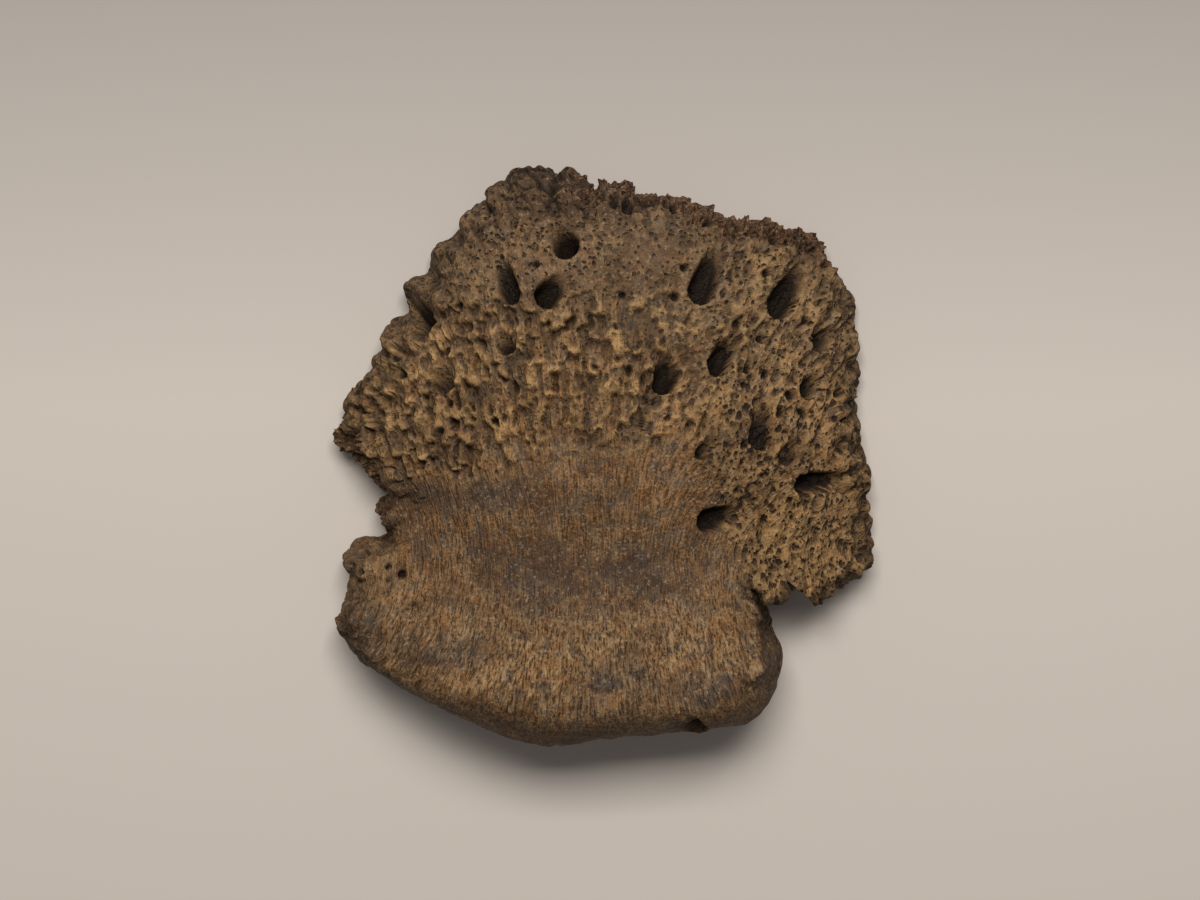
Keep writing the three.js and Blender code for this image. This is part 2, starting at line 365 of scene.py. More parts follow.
def scatter(points, salt):
    """Points strewn one to a lattice cell, each with a lot, which is a random number from 0 to 1.

    Gives the distances to the nearest point and the next, the way from the nearest and its lot.
    """
    home = np.floor(points)
    nearest = np.full(len(points), np.inf)
    second = np.full(len(points), np.inf)
    way = np.zeros_like(points)
    lot = np.zeros(len(points))
    for step in itertools.product((-1, 0, 1), repeat=points.shape[1]):
        cell = home + step
        gap = points - lattice_spots(cell, salt + 1)
        distance = np.linalg.norm(gap, axis=1)
        closer = distance < nearest
        second = np.where(closer, nearest, np.minimum(second, distance))
        nearest = np.where(closer, distance, nearest)
        way[closer] = gap[closer]
        lot[closer] = lattice_random(cell[closer], salt)
    return nearest, second, way, lot


def closed_curve(knots, samples):
    """Evenly spaced points of a closed centripetal Catmull-Rom curve.

    Between two knots the curve blends the straight lines through the four knots around them, with the knots
    spaced in time by the square roots of their distances.
    """
    around = [np.roll(knots, shift, axis=0)[:, None, :] for shift in (1, 0, -1, -2)]
    gaps = [np.sqrt(np.linalg.norm(b - a, axis=2, keepdims=True)) for a, b in zip(around, around[1:])]
    times = [np.zeros_like(gaps[0]), gaps[0], gaps[0] + gaps[1], gaps[0] + gaps[1] + gaps[2]]
    now = times[1] + gaps[1] * np.linspace(0.0, 1.0, SPAN_SAMPLES, endpoint=False)[None, :, None]

    def between(first, second, start, end):
        """Straight line from the first point at the start time to the second at the end time."""
        return (first * (end - now) + second * (now - start)) / (end - start)

    lines = [between(around[i], around[i + 1], times[i], times[i + 1]) for i in range(3)]
    bends = [between(lines[i], lines[i + 1], times[i], times[i + 2]) for i in range(2)]
    dense = between(*bends, times[1], times[2]).reshape(-1, 2)
    closed = np.vstack([dense, dense[:1]])
    way = np.concatenate([[0.0], np.cumsum(np.linalg.norm(np.diff(closed, axis=0), axis=1))])
    places = np.linspace(0.0, way[-1], samples, endpoint=False)
    return np.stack([np.interp(places, way, closed[:, axis]) for axis in (0, 1)], axis=1)


def round_average(values, share):
    """Values round a closed loop, each averaged over a share of the loop."""
    count = len(values)
    half = int(count * share / 2)
    wrapped = np.concatenate([values[-half:], values, values[:half]])
    running = np.cumsum(np.vstack([np.zeros((1, values.shape[1])), wrapped]), axis=0)
    return (running[2 * half + 1 :] - running[:count]) / (2 * half + 1)


def at_turn(values, turn):
    """Values given evenly round the outline, read at shares of the way round."""
    places = np.arange(len(values)) / len(values)
    columns = values.reshape(len(values), -1).T
    read = [np.interp(turn, places, column, period=1.0) for column in columns]
    return np.stack(read, axis=-1).reshape(turn.shape + values.shape[1:])


def length_property(name, description, default):
    """A size that a user may change, in metres."""
    return FloatProperty(name=name, description=description, default=default, unit="LENGTH", precision=5)


def colour_property(name, description, red, green, blue):
    """A colour that a user may change."""
    return FloatVectorProperty(
        name=name, description=description, default=(red, green, blue, 1.0), size=4, subtype="COLOR"
    )


class BoneShape(PropertyGroup):
    """Driving sizes of the bone."""

    width: length_property("Width", "Across the two wings", OUTLINE_SHARE * CAD_SIZE.x)
    joint_height: length_property("Joint Height", "Back at the joint", WEDGE_SHARE * CAD_SIZE.z)
    hoof_height: length_property("Hoof Height", "Back at the hoof edge", 0.013)
    side_fall: length_property("Side Fall", "Fall of the back to the sides", 0.015)
    steps: IntProperty(
        name="Steps",
        description="Squares along each side of the back's grid",
        default=236,
        min=40,
        max=240,
        step=4,
    )
    rim_rows: IntProperty(
        name="Rim Rows", description="Rows of squares round the rim", default=26, min=8, max=40
    )

    def half(self):
        """Half the width in millimetres, in which all places are counted."""
        return self.width / MM / 2.0

    def away(self, x, y, across, along):
        """Distance in millimetres from a place given in shares."""
        return np.hypot(x - across * self.half(), y - along * self.half())

    def back_height(self, x, y):
        """Wedge from hoof to joint with a raised lip, a dipped waist, a fall to the sides and swellings."""
        across, along = x / self.half(), y / self.half()
        share = (HOOF_END - along) / (HOOF_END - JOINT_END)
        ridge = mix(self.hoof_height, self.joint_height, share) / MM
        ridge += LIP_RISE * bell((along - LIP_PLACE) * self.half() / LIP_REACH)
        ridge -= LIP_FALL * smooth(*LIP_ROLL, along)
        ridge -= WAIST_DIP * bell((along - WAIST_PLACE) * self.half() / WAIST_REACH)
        height = ridge - self.side_fall / MM * np.abs(across) ** SIDE_POWER
        for place_x, place_y, reach, rise in SWELLINGS:
            height += rise * bell(self.away(x, y, place_x, place_y) / reach)
        return height

    def sole_height(self, x, y):
        """Hollow in the middle, lifted at the rim, and flat on the floor at the pads."""
        height = SOLE_HOLLOW * smooth(SOLE_HOLLOW_ENDS, 0.0, np.hypot(x, y) / self.half())
        height += SOLE_RIM_LIFT
        for across, along in SOLE_PADS:
            height -= PAD_SINK * bell(self.away(x, y, across, along) / PAD_REACH)
        return np.maximum(height, 0.0)


def joint_share(shape, y):
    """1 on the joint end, 0 on the hoof, blended near the notches."""
    return smooth(JOINT_STARTS, JOINT_WHOLE, y / shape.half())


def side_wall(shape, edge):
    """Weight of the side wall round the outline, 1 between its ends, and the rim's reach along it."""
    places, reaches = np.array(SIDE_WALL)[:, :2] * shape.half(), np.array(SIDE_WALL)[:, 2]
    turns = np.array([np.linalg.norm(edge - place, axis=1).argmin() for place in places]) / len(edge)
    turn = np.arange(len(edge)) / len(edge)
    share = smooth(turns[0] - WALL_RAMP, turns[0], turn) * smooth(turns[-1] + WALL_RAMP, turns[-1], turn)
    return share, np.interp(turn, turns, reaches)


def rim_table(shape, samples):
    """The outline, the way in from it and the rim's sizes, evenly round the bone."""
    edge = closed_curve(KNOTS * shape.half(), samples)
    soft = round_average(edge, SOFTENING)
    inward = CORE * soft - edge
    inward /= np.linalg.norm(inward, axis=1, keepdims=True)
    joint = joint_share(shape, edge[:, 1])
    wall, wall_reach = side_wall(shape, edge)
    return {
        "edge": edge,
        "soft": soft,
        "inward": inward,
        "joint": joint,
        "wall": wall,
        "height": shape.back_height(*edge.T) * mix(*RIM_LEVEL, joint),
        "back_reach": mix(mix(*BACK_REACH, joint), wall_reach, wall),
        "sole_reach": mix(*SOLE_REACH, joint),
        "back_power": 2.0 / mix(mix(*BACK_SQUARENESS, joint), WALL_SQUARENESS, wall),
        "sole_power": 2.0 / mix(*SOLE_SQUARENESS, joint),
    }


def square_turn(a, b):
    """Share of the way round a square's ring at a point of the square, evenly along each side."""
    side = np.abs(a) > np.abs(b)
    larger = np.where(side, a, b)
    along = np.where(side, b, a) / np.where(larger == 0.0, 1.0, larger)
    quarter = np.where(side, along, 2.0 - along)
    return ((quarter + np.where(larger < 0.0, 4.0, 0.0)) / 8.0) % 1.0


def square_ring(steps):
    """Indices of a square grid's outermost ring, anticlockwise from the middle of its right side."""
    eighths = 8.0 * np.arange(4 * steps) / (4 * steps)
    wrapped = [(eighths - start + 4.0) % 8.0 - 4.0 for start in (0.0, 2.0)]
    a, b = [np.clip(2.0 - np.abs(part), -1.0, 1.0) for part in wrapped]
    column, row = [np.rint((part + 1.0) / 2.0 * steps).astype(int) for part in (a, b)]
    return row * (steps + 1) + column


def sheet(shape, rim, steps, half):
    """Back or sole: a square grid, denser to the hoof, spread over the plan at the height of that face.

    Its rings turn from the softened outline's shape at the middle to the rim's own shape at the edge.
    """
    line = np.linspace(-1.0, 1.0, steps + 1)
    a, b = [part.ravel() for part in np.meshgrid(line, line + HOOF_DENSITY * (1.0 - line**2))]
    share = np.maximum(np.abs(a), np.abs(b))[:, None]
    turn = square_turn(a, b)
    inner = at_turn(rim["edge"] + rim["inward"] * rim[half + "_reach"][:, None], turn)
    soft = at_turn(rim["soft"], turn)
    x, y = (share * mix(soft, inner, share)).T
    height = shape.back_height(x, y) if half == "back" else shape.sole_height(x, y)
    return np.stack([x, y, height], axis=1), turn


def rim_belt(shape, rim, ring_turn, rows):
    """Rim: in each column a half superellipse from the back down to the sole, dished on the joint surface."""
    turn = np.tile(ring_turn, rows - 1)
    angle = np.repeat(np.pi * (0.5 - np.arange(1, rows) / rows), len(ring_turn))
    at = {name: at_turn(values, turn) for name, values in rim.items()}
    upper = angle > 0.0
    out = np.maximum(np.cos(angle), 0.0)
    reach = np.where(upper, at["back_reach"], at["sole_reach"])
    power = np.where(upper, at["back_power"], at["sole_power"])
    x, y = (at["edge"] + at["inward"] * (reach * (1.0 - out**power))[:, None]).T
    limit = np.where(upper, shape.back_height(x, y), shape.sole_height(x, y))
    height = mix(at["height"], limit, np.abs(np.sin(angle)) ** power)
    dish = FACET_DEPTH * at["joint"] * out**DISH_POWER
    return np.stack([x, y + dish, height], axis=1), turn


def square_faces(steps):
    """Corners of a square grid's cells, anticlockwise from above."""
    index = np.arange((steps + 1) ** 2).reshape(steps + 1, steps + 1)
    return np.stack([index[:-1, :-1], index[:-1, 1:], index[1:, 1:], index[1:, :-1]], axis=-1).reshape(-1, 4)


def belt_faces(ring):
    """Corners of the squares between the rows of a closed belt."""
    following = np.roll(ring, -1, axis=1)
    return np.stack([ring[:-1], ring[1:], following[1:], following[:-1]], axis=-1).reshape(-1, 4)


def join_faces(upper, lower):
    """Triangles between a closed row of points and one of half as many below it."""
    first, middle = upper[0::2], upper[1::2]
    last, lower_next = np.roll(first, -1), np.roll(lower, -1)
    fans = ((first, lower, middle), (middle, lower, lower_next), (middle, lower_next, last))
    return np.vstack([np.stack(fan, axis=1) for fan in fans])


def bone_grid(shape):
    """Points, faces and places on the bone: back, rim and, at half density, sole, closed into one surface."""
    steps, rows = shape.steps, shape.rim_rows
    columns, sole_steps = 4 * steps, steps // 2
    rim = rim_table(shape, 4 * columns)
    back, back_turn = sheet(shape, rim, steps, "back")
    back_ring = square_ring(steps)
    side, side_turn = rim_belt(shape, rim, back_turn[back_ring], rows)
    sole, sole_turn = sheet(shape, rim, sole_steps, "sole")
    points = np.vstack([back, side, sole])
    ring = np.vstack([back_ring, len(back) + np.arange(len(side)).reshape(rows - 1, columns)])
    sole_start = len(back) + len(side)
    sole_faces = sole_start + square_faces(sole_steps)[:, ::-1]
    quads = np.vstack([square_faces(steps), belt_faces(ring), sole_faces])
    joins = join_faces(ring[-1], sole_start + square_ring(sole_steps))
    turn = np.concatenate([back_turn, side_turn, sole_turn])
    edge = at_turn(rim["edge"], turn)
    from_edge = np.linalg.norm(points[:, :2] - edge, axis=1)
    wall = at_turn(rim["wall"], turn) * smooth(*WALL_FADE, from_edge - at_turn(rim["back_reach"], turn))
    return points, quads, joins, edge, wall


def vertex_normals(points, quads, joins):
    """Outward directions at the points: the sum of the facing directions of the faces around each."""
    normals = np.zeros_like(points)
    for faces in (quads, joins):
        corners = points[faces.T]
        # A triangle's second diagonal ends at its first corner
        facing = np.cross(corners[2] - corners[0], corners[3 % len(corners)] - corners[1])
        for column in faces.T:
            np.add.at(normals, column, facing)
    return normals / np.linalg.norm(normals, axis=1, keepdims=True)


class BoneRelief(PropertyGroup):
    """Heights of the surface's knobs, pits and ridges."""

    knob_height: length_property("Knobs", "Rounded knobs along the wings", 0.0022)
    break_height: length_property("Broken Edge", "Angular steps of the broken edge", 0.0012)
    tongue_height: length_property("Tongues", "Overlapping tongues of the hoof", 0.0012)
    pit_depth: length_property("Pits", "Pits of the spongy bone", 0.0010)
    grain_height: length_property("Grain", "Fine unevenness all over", 0.00025)


# Kinds of surface. A pair says where a kind starts and where it is whole: in millimetres, for the outline in
# shares, and for facing in the upward share of the surface's direction
FAN_TURN = (-2.0, 22.0)
RAGGED_CELL, RAGGED_SWAY = 4.0, 2.4
RIM_WIDTH, BACK_FACING, ROLL_FACING = (7.0, 2.5), (0.1, 0.5), (0.97, 0.75)
# Border of the spongy hoof, which drops to the joint on both sides
BORDER_PLACE, BORDER_SWAY, BORDER_FADE = 5.0, 3.0, (-4.0, 4.0)
LEFT_DROP, LEFT_DROP_SPAN = 10.0, (2.0, -34.0)
RIGHT_DROP, RIGHT_DROP_SPAN = 32.0, (12.0, 30.0)
# Broken strip of the hoof edge, wider at the right, and chips: place and reach in shares
BREAK_ALONG, BREAK_ACROSS, BREAK_FADE = (0.60, 0.70), (-0.16, 0.0), 0.8
BREAK_WIDTH, BREAK_WIDER, BREAK_WIDENS = 1.6, 1.2, (0.3, 0.5)
CHIPS = ((0.86, -0.57, 0.08), (-0.95, -0.01, 0.09), (-0.82, -0.27, 0.06))
CHIP_DEPTH, CHIP_FACING = (4.5, 2.0), (0.95, 0.6)
# Knobbly summit of the hoof edge: place and reach in shares
SUMMIT, SUMMIT_DEPTH = (-0.17, 1.0, 0.25), (6.5, 3.5)
TONGUES_ALONG, TONGUES_ACROSS, RIGHT_WING = (33.0, 22.0), (22.0, 10.0), (12.0, 22.0)
# Calm skin, with its place and reach across and along, and the band of the lip, both in millimetres
CALM_PLACE, CALM_REACH = (9.0, 32.0), (9.0, 10.0)
LIP_MIDDLE, LIP_HALF_WIDTH = -32.0, 8.0
# Sway of the fibres across and along, each with its salt
WARP_CELL, WARPS = 3.0, ((0.45, 91), (1.5, 97))
# Shares of pores on lump and side wall, and of those that tongues and calm skin close
LUMP_PORES, WALL_PORES, TONGUE_SKIN, CALM_SKIN = 0.5, 0.7, 0.5, 0.2


def survey(shape, points, normals, edge, wall):
    """Where each point lies: its fibre lines and the weights from 0 to 1 of the kinds of surface."""
    x, y, z = points.T
    up = normals[:, 2]
    edge_x, edge_y = (edge / shape.half()).T
    along = y - FAN_PLACE * shape.half()
    fan = np.where(along > 0.0, mix(LEFT_FAN, RIGHT_FAN, smooth(*FAN_TURN, x)), JOINT_FAN)
    gap = np.linalg.norm(points[:, :2] - edge, axis=1)
    ragged = gap + RAGGED_SWAY * waves(points / RAGGED_CELL, salt=3, octaves=3)

    def near_edge(place_x, place_y, reach):
        """1 where the outline passes a place, falling off over the reach."""
        return bell(np.hypot(edge_x - place_x, edge_y - place_y) / reach)

    border = BORDER_PLACE - LEFT_DROP * smooth(*LEFT_DROP_SPAN, x) - RIGHT_DROP * smooth(*RIGHT_DROP_SPAN, x)
    border += BORDER_SWAY * waves(points / RAGGED_CELL, salt=7, octaves=2)
    strip = BREAK_WIDTH + BREAK_WIDER * smooth(*BREAK_WIDENS, edge_x)
    hoof_edge = smooth(*BREAK_ALONG, edge_y) * smooth(*BREAK_ACROSS, edge_x)
    hoof_edge *= smooth(strip + BREAK_FADE, strip - BREAK_FADE, ragged)
    chips = sum(near_edge(*chip) for chip in CHIPS)
    chips *= smooth(*CHIP_DEPTH, ragged) * smooth(*CHIP_FACING, up)
    rim = smooth(*RIM_WIDTH, gap)
    back = smooth(*BACK_FACING, up)
    spongy = smooth(*BORDER_FADE, y - border)
    tongued = spongy * smooth(*TONGUES_ALONG, y) * smooth(*TONGUES_ACROSS, x) * back
    calm = bell(np.hypot((x - CALM_PLACE[0]) / CALM_REACH[0], (y - CALM_PLACE[1]) / CALM_REACH[1]))
    lump = bell(shape.away(x, y, *LUMP_PLACE) / LUMP_REACH)
    porous = spongy * (1.0 - TONGUE_SKIN * tongued) * (1.0 - CALM_SKIN * calm)
    warp = [sway * waves(points / WARP_CELL, salt, octaves=2) for sway, salt in WARPS]
    web = np.stack([x / np.hypot(1.0, along / WEB_FAN), along, z], axis=1)
    return SimpleNamespace(
        points=points,
        x=x,
        y=y,
        up=up,
        flow=np.stack([x / np.hypot(1.0, along / fan), along, z], axis=1),
        web=web,
        bent=web[:, :2] + np.stack(warp, axis=1),
        back=back,
        spongy=spongy,
        lump=lump,
        tongued=tongued,
        porous=np.maximum.reduce([porous, LUMP_PORES * lump, WALL_PORES * wall]),
        rim=rim,
        broken=np.clip(np.maximum(hoof_edge, chips), 0.0, 1.0),
        joint=joint_share(shape, edge[:, 1]) * rim,
        lip=bell((y - LIP_MIDDLE) / LIP_HALF_WIDTH) * back,
        right_wing=smooth(*RIGHT_WING, x),
        calm=calm,
        summit=near_edge(*SUMMIT) * smooth(*SUMMIT_DEPTH, ragged),
        wall=wall,
    )


# Knobs: cell in millimetres, share and salt of each sort. Radius and crease are in cells
KNOB_SORTS = ((4.4, 0.8, 11), (2.3, 0.4, 13))
KNOB_RADIUS, KNOB_CREASE, KNOB_LEAST, KNOB_SINK, SUMMIT_KNOBS = 0.8, 0.16, 0.4, 0.45, 0.6


def knobs(at):
    """Half spheres of two sizes strewn along the rims of the wings, and the creases between them, painted
    dark as shade.
    """
    knob = np.zeros(len(at.points))
    crease = np.zeros(len(at.points))
    for size, share, salt in KNOB_SORTS:
        near, second, _, lot = scatter(at.points / size, salt)
        knob += share * dome(near / KNOB_RADIUS) * mix(KNOB_LEAST, 1.0, lot)
        crease = np.maximum(crease, share * smooth(KNOB_CREASE, 0.0, second - near))
    weight = np.maximum(at.rim, at.summit) * (1.0 - at.joint) * (1.0 - at.broken)
    weight *= 1.0 + SUMMIT_KNOBS * at.summit
    return (knob - KNOB_SINK) * weight, crease * weight


# Facets: cell in millimetres, share and salt of each sort, then spread of levels, steepness and sink. The lot
# turns a facet's tilt, which has one phase for each axis
BREAK_SORTS = ((3.2, 1.0, 23), (1.5, 0.6, 29))
FACET_LEVELS, FACET_TILT, FACET_SINK, CAVE_LEVELS = 1.4, 0.9, 0.5, (-0.2, -0.9)
TILT_TURN, TILT_PHASES = 40.0, np.array([0.0, 2.1, 4.2])


def breaks(at):
    """Angular break: flat facets of two sizes, each with its own level and tilt. Low ones are caves, painted
    dark as shade.
    """
    lift = np.zeros(len(at.points))
    for size, share, salt in BREAK_SORTS:
        _, _, way, lot = scatter(at.points / size, salt)
        tilt = np.sin(TILT_TURN * lot[:, None] + TILT_PHASES)
        lift += share * (FACET_LEVELS * (lot - 0.5) + FACET_TILT * (way * tilt).sum(axis=1))
    return (lift - FACET_SINK) * at.broken, smooth(*CAVE_LEVELS, lift) * at.broken


# Tongues: cell across and along and range of sizes in millimetres, and lots that have none. In sizes: the
# tail's length, the widths of its two ends, the blunt end and the gap. A least length is added to divisors
TONGUE_CELL = np.array([1.4, 3.6])
TONGUE_SIZES, TONGUE_LOTS, TONGUE_TAIL, TONGUE_WIDTHS = (0.45, 1.25), (0.0, 0.12), 5.0, (0.9, 0.45)
TONGUE_BLUNT, TONGUE_GAP, LEAST_LENGTH = 0.6, 0.7, 0.01
# Spans of the painted highlight at a tongue's tip and of the painted shade below it and in the grooves; sinks
# of the tongues and of their shaded gaps, in tongue heights
TIP_TAIL, TIP_RISE, SHADE_RISE, GROOVE_RISE = (0.25, 0.0), (0.2, 0.7), (0.5, 0.15), (0.25, 0.0)
TONGUE_SINK, SHADE_SINK = 0.4, 0.5


def tongues(at):
    """Overlapping tongues along the fibres, of which the highest shows.

    Each climbs along a tail that narrows to the hoof, and drops at a blunt joint end to a gap painted dark as
    its shadow. Its tip is painted light as a highlight, and the grooves between tongues dark as shade.
    """
    places = at.bent / TONGUE_CELL
    home = np.floor(places)
    rise = np.zeros(len(places))
    tip_highlight = np.zeros(len(places))
    shade = np.zeros(len(places))
    for step in itertools.product((-1, 0, 1), (-2, -1, 0, 1)):
        cell = home + step
        lot = lattice_random(cell, salt=43)
        size = mix(*TONGUE_SIZES, lot) * smooth(*TONGUE_LOTS, lot)
        sideways, forward = ((places - lattice_spots(cell, salt=37)) * TONGUE_CELL).T
        tail = np.clip(forward / (TONGUE_TAIL * size + LEAST_LENGTH), 0.0, 1.0)
        across = sideways / (mix(*TONGUE_WIDTHS, tail) * size + LEAST_LENGTH)
        blunt = np.minimum(forward, 0.0) / (TONGUE_BLUNT * size + LEAST_LENGTH)
        height = dome(np.hypot(across, blunt)) * (1.0 - tail) * size
        tip_highlight = np.where(height > rise, smooth(*TIP_TAIL, tail) * smooth(*TIP_RISE, height), tip_highlight)
        rise = np.maximum(rise, height)
        gap = np.hypot(sideways, forward + size) / (TONGUE_GAP * size + LEAST_LENGTH)
        shade = np.maximum(shade, bell(gap))
    shade *= smooth(*SHADE_RISE, rise)
    groove = np.maximum(smooth(*GROOVE_RISE, rise), shade)
    lift = rise - TONGUE_SINK - SHADE_SINK * shade
    return lift * at.tongued, groove * at.tongued, tip_highlight * at.tongued


# Slots: cell in millimetres across and along. Radius, slope, rim and the places ahead are in cells, and so is
# the span of painted shade at the hoof end
SLOT_CELL = np.array([1.4, 3.6])
SLOT_RADIUS, SLOT_SLOPE, SLOT_SHADE_SPAN = 0.42, 0.2, (-0.5, 0.1)
SLOT_RIM, SLOT_RIM_ENDS, SLOT_RIM_LOTS, SLOT_RIM_RISE = 0.12, (0.1, -0.3), (0.3, 0.6), 0.5


def slots(at):
    """Long pits along the fibres, one to a cell, painted dark as shade at the hoof end, with a raised rim
    round the joint end that is also painted light as a highlight.
    """
    near, _, way, lot = scatter(at.bent / SLOT_CELL, salt=47)
    ahead = way[:, 1]
    radius = SLOT_RADIUS * lot
    bowl = smooth(radius, radius - SLOT_SLOPE, near) * at.tongued
    rim = bell((near - radius - SLOT_RIM) / SLOT_RIM) * smooth(*SLOT_RIM_ENDS, ahead)
    rim *= smooth(*SLOT_RIM_LOTS, lot) * at.tongued
    return SLOT_RIM_RISE * rim - bowl, bowl * smooth(*SLOT_SHADE_SPAN, ahead), rim


# Bowls of the spongy bone: cell in millimetres, radii, slope and wall in cells, depth and rise in shares
SPONGE_CELL = np.array([1.2, 2.2])
BOWL_RADII, BOWL_SLOPE, BOWL_WALL = (0.12, 0.5), 0.25, (0.3, 0.05)
BOWL_DEPTH, BOWL_WALL_RISE, LEFT_BOWLS, CALM_BOWLS = 0.6, 0.15, 0.35, 0.9
SOLE_CELL, SOLE_RADII, SOLE_SIDE, SOLE_DEPTH = 2.2, (0.2, 0.5), (1.0, 0.3), 0.6


def sponge(at):
    """Round bowls of mixed size, one to a cell along the fibres, with low walls between neighbours. Bowls and
    the sole's pits are also painted dark as shade, and the walls light as a highlight.
    """
    near, second, _, lot = scatter(at.bent / SPONGE_CELL, salt=53)
    weight = at.spongy * at.back * mix(LEFT_BOWLS, 1.0, at.right_wing) * (1.0 - CALM_BOWLS * at.calm)
    wall = smooth(*BOWL_WALL, second - near)
    radius = mix(*BOWL_RADII, lot)
    bowl = smooth(radius, radius - BOWL_SLOPE, near) * weight
    near, _, _, lot = scatter(at.points / SOLE_CELL, salt=59)
    under = SOLE_DEPTH * smooth(*SOLE_SIDE, near / mix(*SOLE_RADII, lot))
    under *= (1.0 - at.back) * (1.0 - at.joint)
    hollow = np.maximum(BOWL_DEPTH * bowl, under)
    return BOWL_WALL_RISE * wall * weight - hollow, hollow, wall * weight


# Veins and low streaks: cells in millimetres across and along, and how strong streaks are on waist, lip and
# the left end of the lip
VEIN_CELL, VEIN_WIDTH, VEIN_SHARE = np.array([2.6, 9.0]), 0.22, 0.6
RAY_CELL, LIP_CELL, STREAK_RISE = np.array([1.4, 6.0]), np.array([1.0, 2.6]), 0.45
WAIST_STREAKS, LIP_STREAKS, LIP_END_STREAKS = 0.2, 0.7, 1.3
LIP_END, LIP_END_REACH = (-0.82, -0.62), 9.0


def veins(at):
    """Thin walls along the fibres of the right wing: the lines where long random waves pass through zero."""
    wave = waves(at.bent / VEIN_CELL, salt=89, octaves=2)
    return bell(wave / VEIN_WIDTH) * at.spongy * at.right_wing * at.back * (1.0 - at.calm)


def streaks(shape, at):
    """Low streaks along the fibres: long random waves on the right wing, short ones on waist and lip."""
    lip_end = bell(shape.away(at.x, at.y, *LIP_END) / LIP_END_REACH)
    strength = WAIST_STREAKS + LIP_STREAKS * at.lip + LIP_END_STREAKS * lip_end
    rays = waves(at.bent / RAY_CELL, salt=83, octaves=2) * at.spongy * at.right_wing
    rays += waves(at.bent / LIP_CELL, salt=101, octaves=2) * strength * (1.0 - at.spongy)
    return STREAK_RISE * rays * at.back


def canals(shape, at):
    """Round ends that drop steeply under a low lip, each with a ramp that climbs out along its heading."""
    depth = np.zeros(len(at.points))
    lift = np.zeros(len(at.points))
    lean = np.zeros_like(at.points)
    for across, along, half_width, ramp, deep, heading in CANALS:
        way = np.array([math.cos(math.radians(heading)), math.sin(math.radians(heading))])
        gap = at.points[:, :2] - np.array([across, along]) * shape.half()
        forward = gap @ way
        sideways = gap @ np.array([-way[1], way[0]])
        out = np.hypot(forward / np.where(forward > 0.0, ramp, half_width), sideways / half_width)
        hole = deep * smooth(*CANAL_SIDE, out) * np.clip(1.0 - forward / ramp, 0.0, 1.0)
        hole = np.where(at.points[:, 2] > SOLE_HOLLOW, hole, 0.0)
        deeper = hole > depth
        depth = np.where(deeper, hole, depth)
        lean[deeper, :2] = -math.sin(CANAL_LEAN) * way
        lip = CANAL_LIP * bell((out - CANAL_LIP_PLACE) / CANAL_LIP_WIDTH)
        lift = np.maximum(lift, lip * smooth(half_width, -half_width, forward))
    return depth, lean, lift


def pits(shape, at):
    """Depth of the single pits: a round bowl each, on the upper side only."""
    depth = np.zeros(len(at.points))
    for across, along, radius in WING_PITS + LUMP_PITS + EDGE_CAVES:
        gap = shape.away(at.x, at.y, across, along) / radius
        depth = np.maximum(depth, PIT_DEPTH * radius * smooth(*PIT_SIDE, gap))
    return depth * (at.up > PIT_FACING)


def edge_marks(shape, at):
    """Knobs and nicks of the rim: upright ridges and grooves with a bell-shaped section."""
    rise = np.zeros(len(at.points))
    for across, along, radius, height in EDGE_MARKS:
        rise += height * bell(shape.away(at.x, at.y, across, along) / radius)
    return rise * at.rim


def crests(shape, at):
    """Thin crests: a bell across the straight line between each crest's two ends."""
    rise = np.zeros(len(at.points))
    for start, end in CRESTS:
        first, last = np.array(start) * shape.half(), np.array(end) * shape.half()
        span = last - first
        share = np.clip((at.points[:, :2] - first) @ span / (span @ span), 0.0, 1.0)
        gap = np.linalg.norm(at.points[:, :2] - first - share[:, None] * span, axis=1)
        rise = np.maximum(rise, bell(gap / CREST_HALF_WIDTH))
    return rise * at.back


def stains(shape, at, places):
    """Stains of one kind, or the dusks, which are partly painted shade: ragged bells round their places."""
    stain = np.zeros(len(at.points))
    for across, along, wide, long in places:
        gap = np.hypot((at.x - across * shape.half()) / wide, (at.y - along * shape.half()) / long)
        stain = np.maximum(stain, bell(gap))
    stain *= STAIN_STRENGTH + STAIN_SWAY * waves(at.points / STAIN_CELL, salt=61, octaves=2)
    return np.clip(stain, 0.0, 1.0) * at.back


# Depths in millimetres over which canals, pits and nicks are painted dark as shade
CANAL_DARK, PIT_DARK, NICK_DARK = (0.3, 2.4), (0.2, 1.0), (-0.3, -1.4)
# Where the grey skin of the hoof starts and is whole, along a slanted line, and where the golden wing does
ASH_SPAN, ASH_SLANT, GILT_SPAN = (10.0, 30.0), 0.15, (8.0, -8.0)
GRAIN_CELL = 4.0


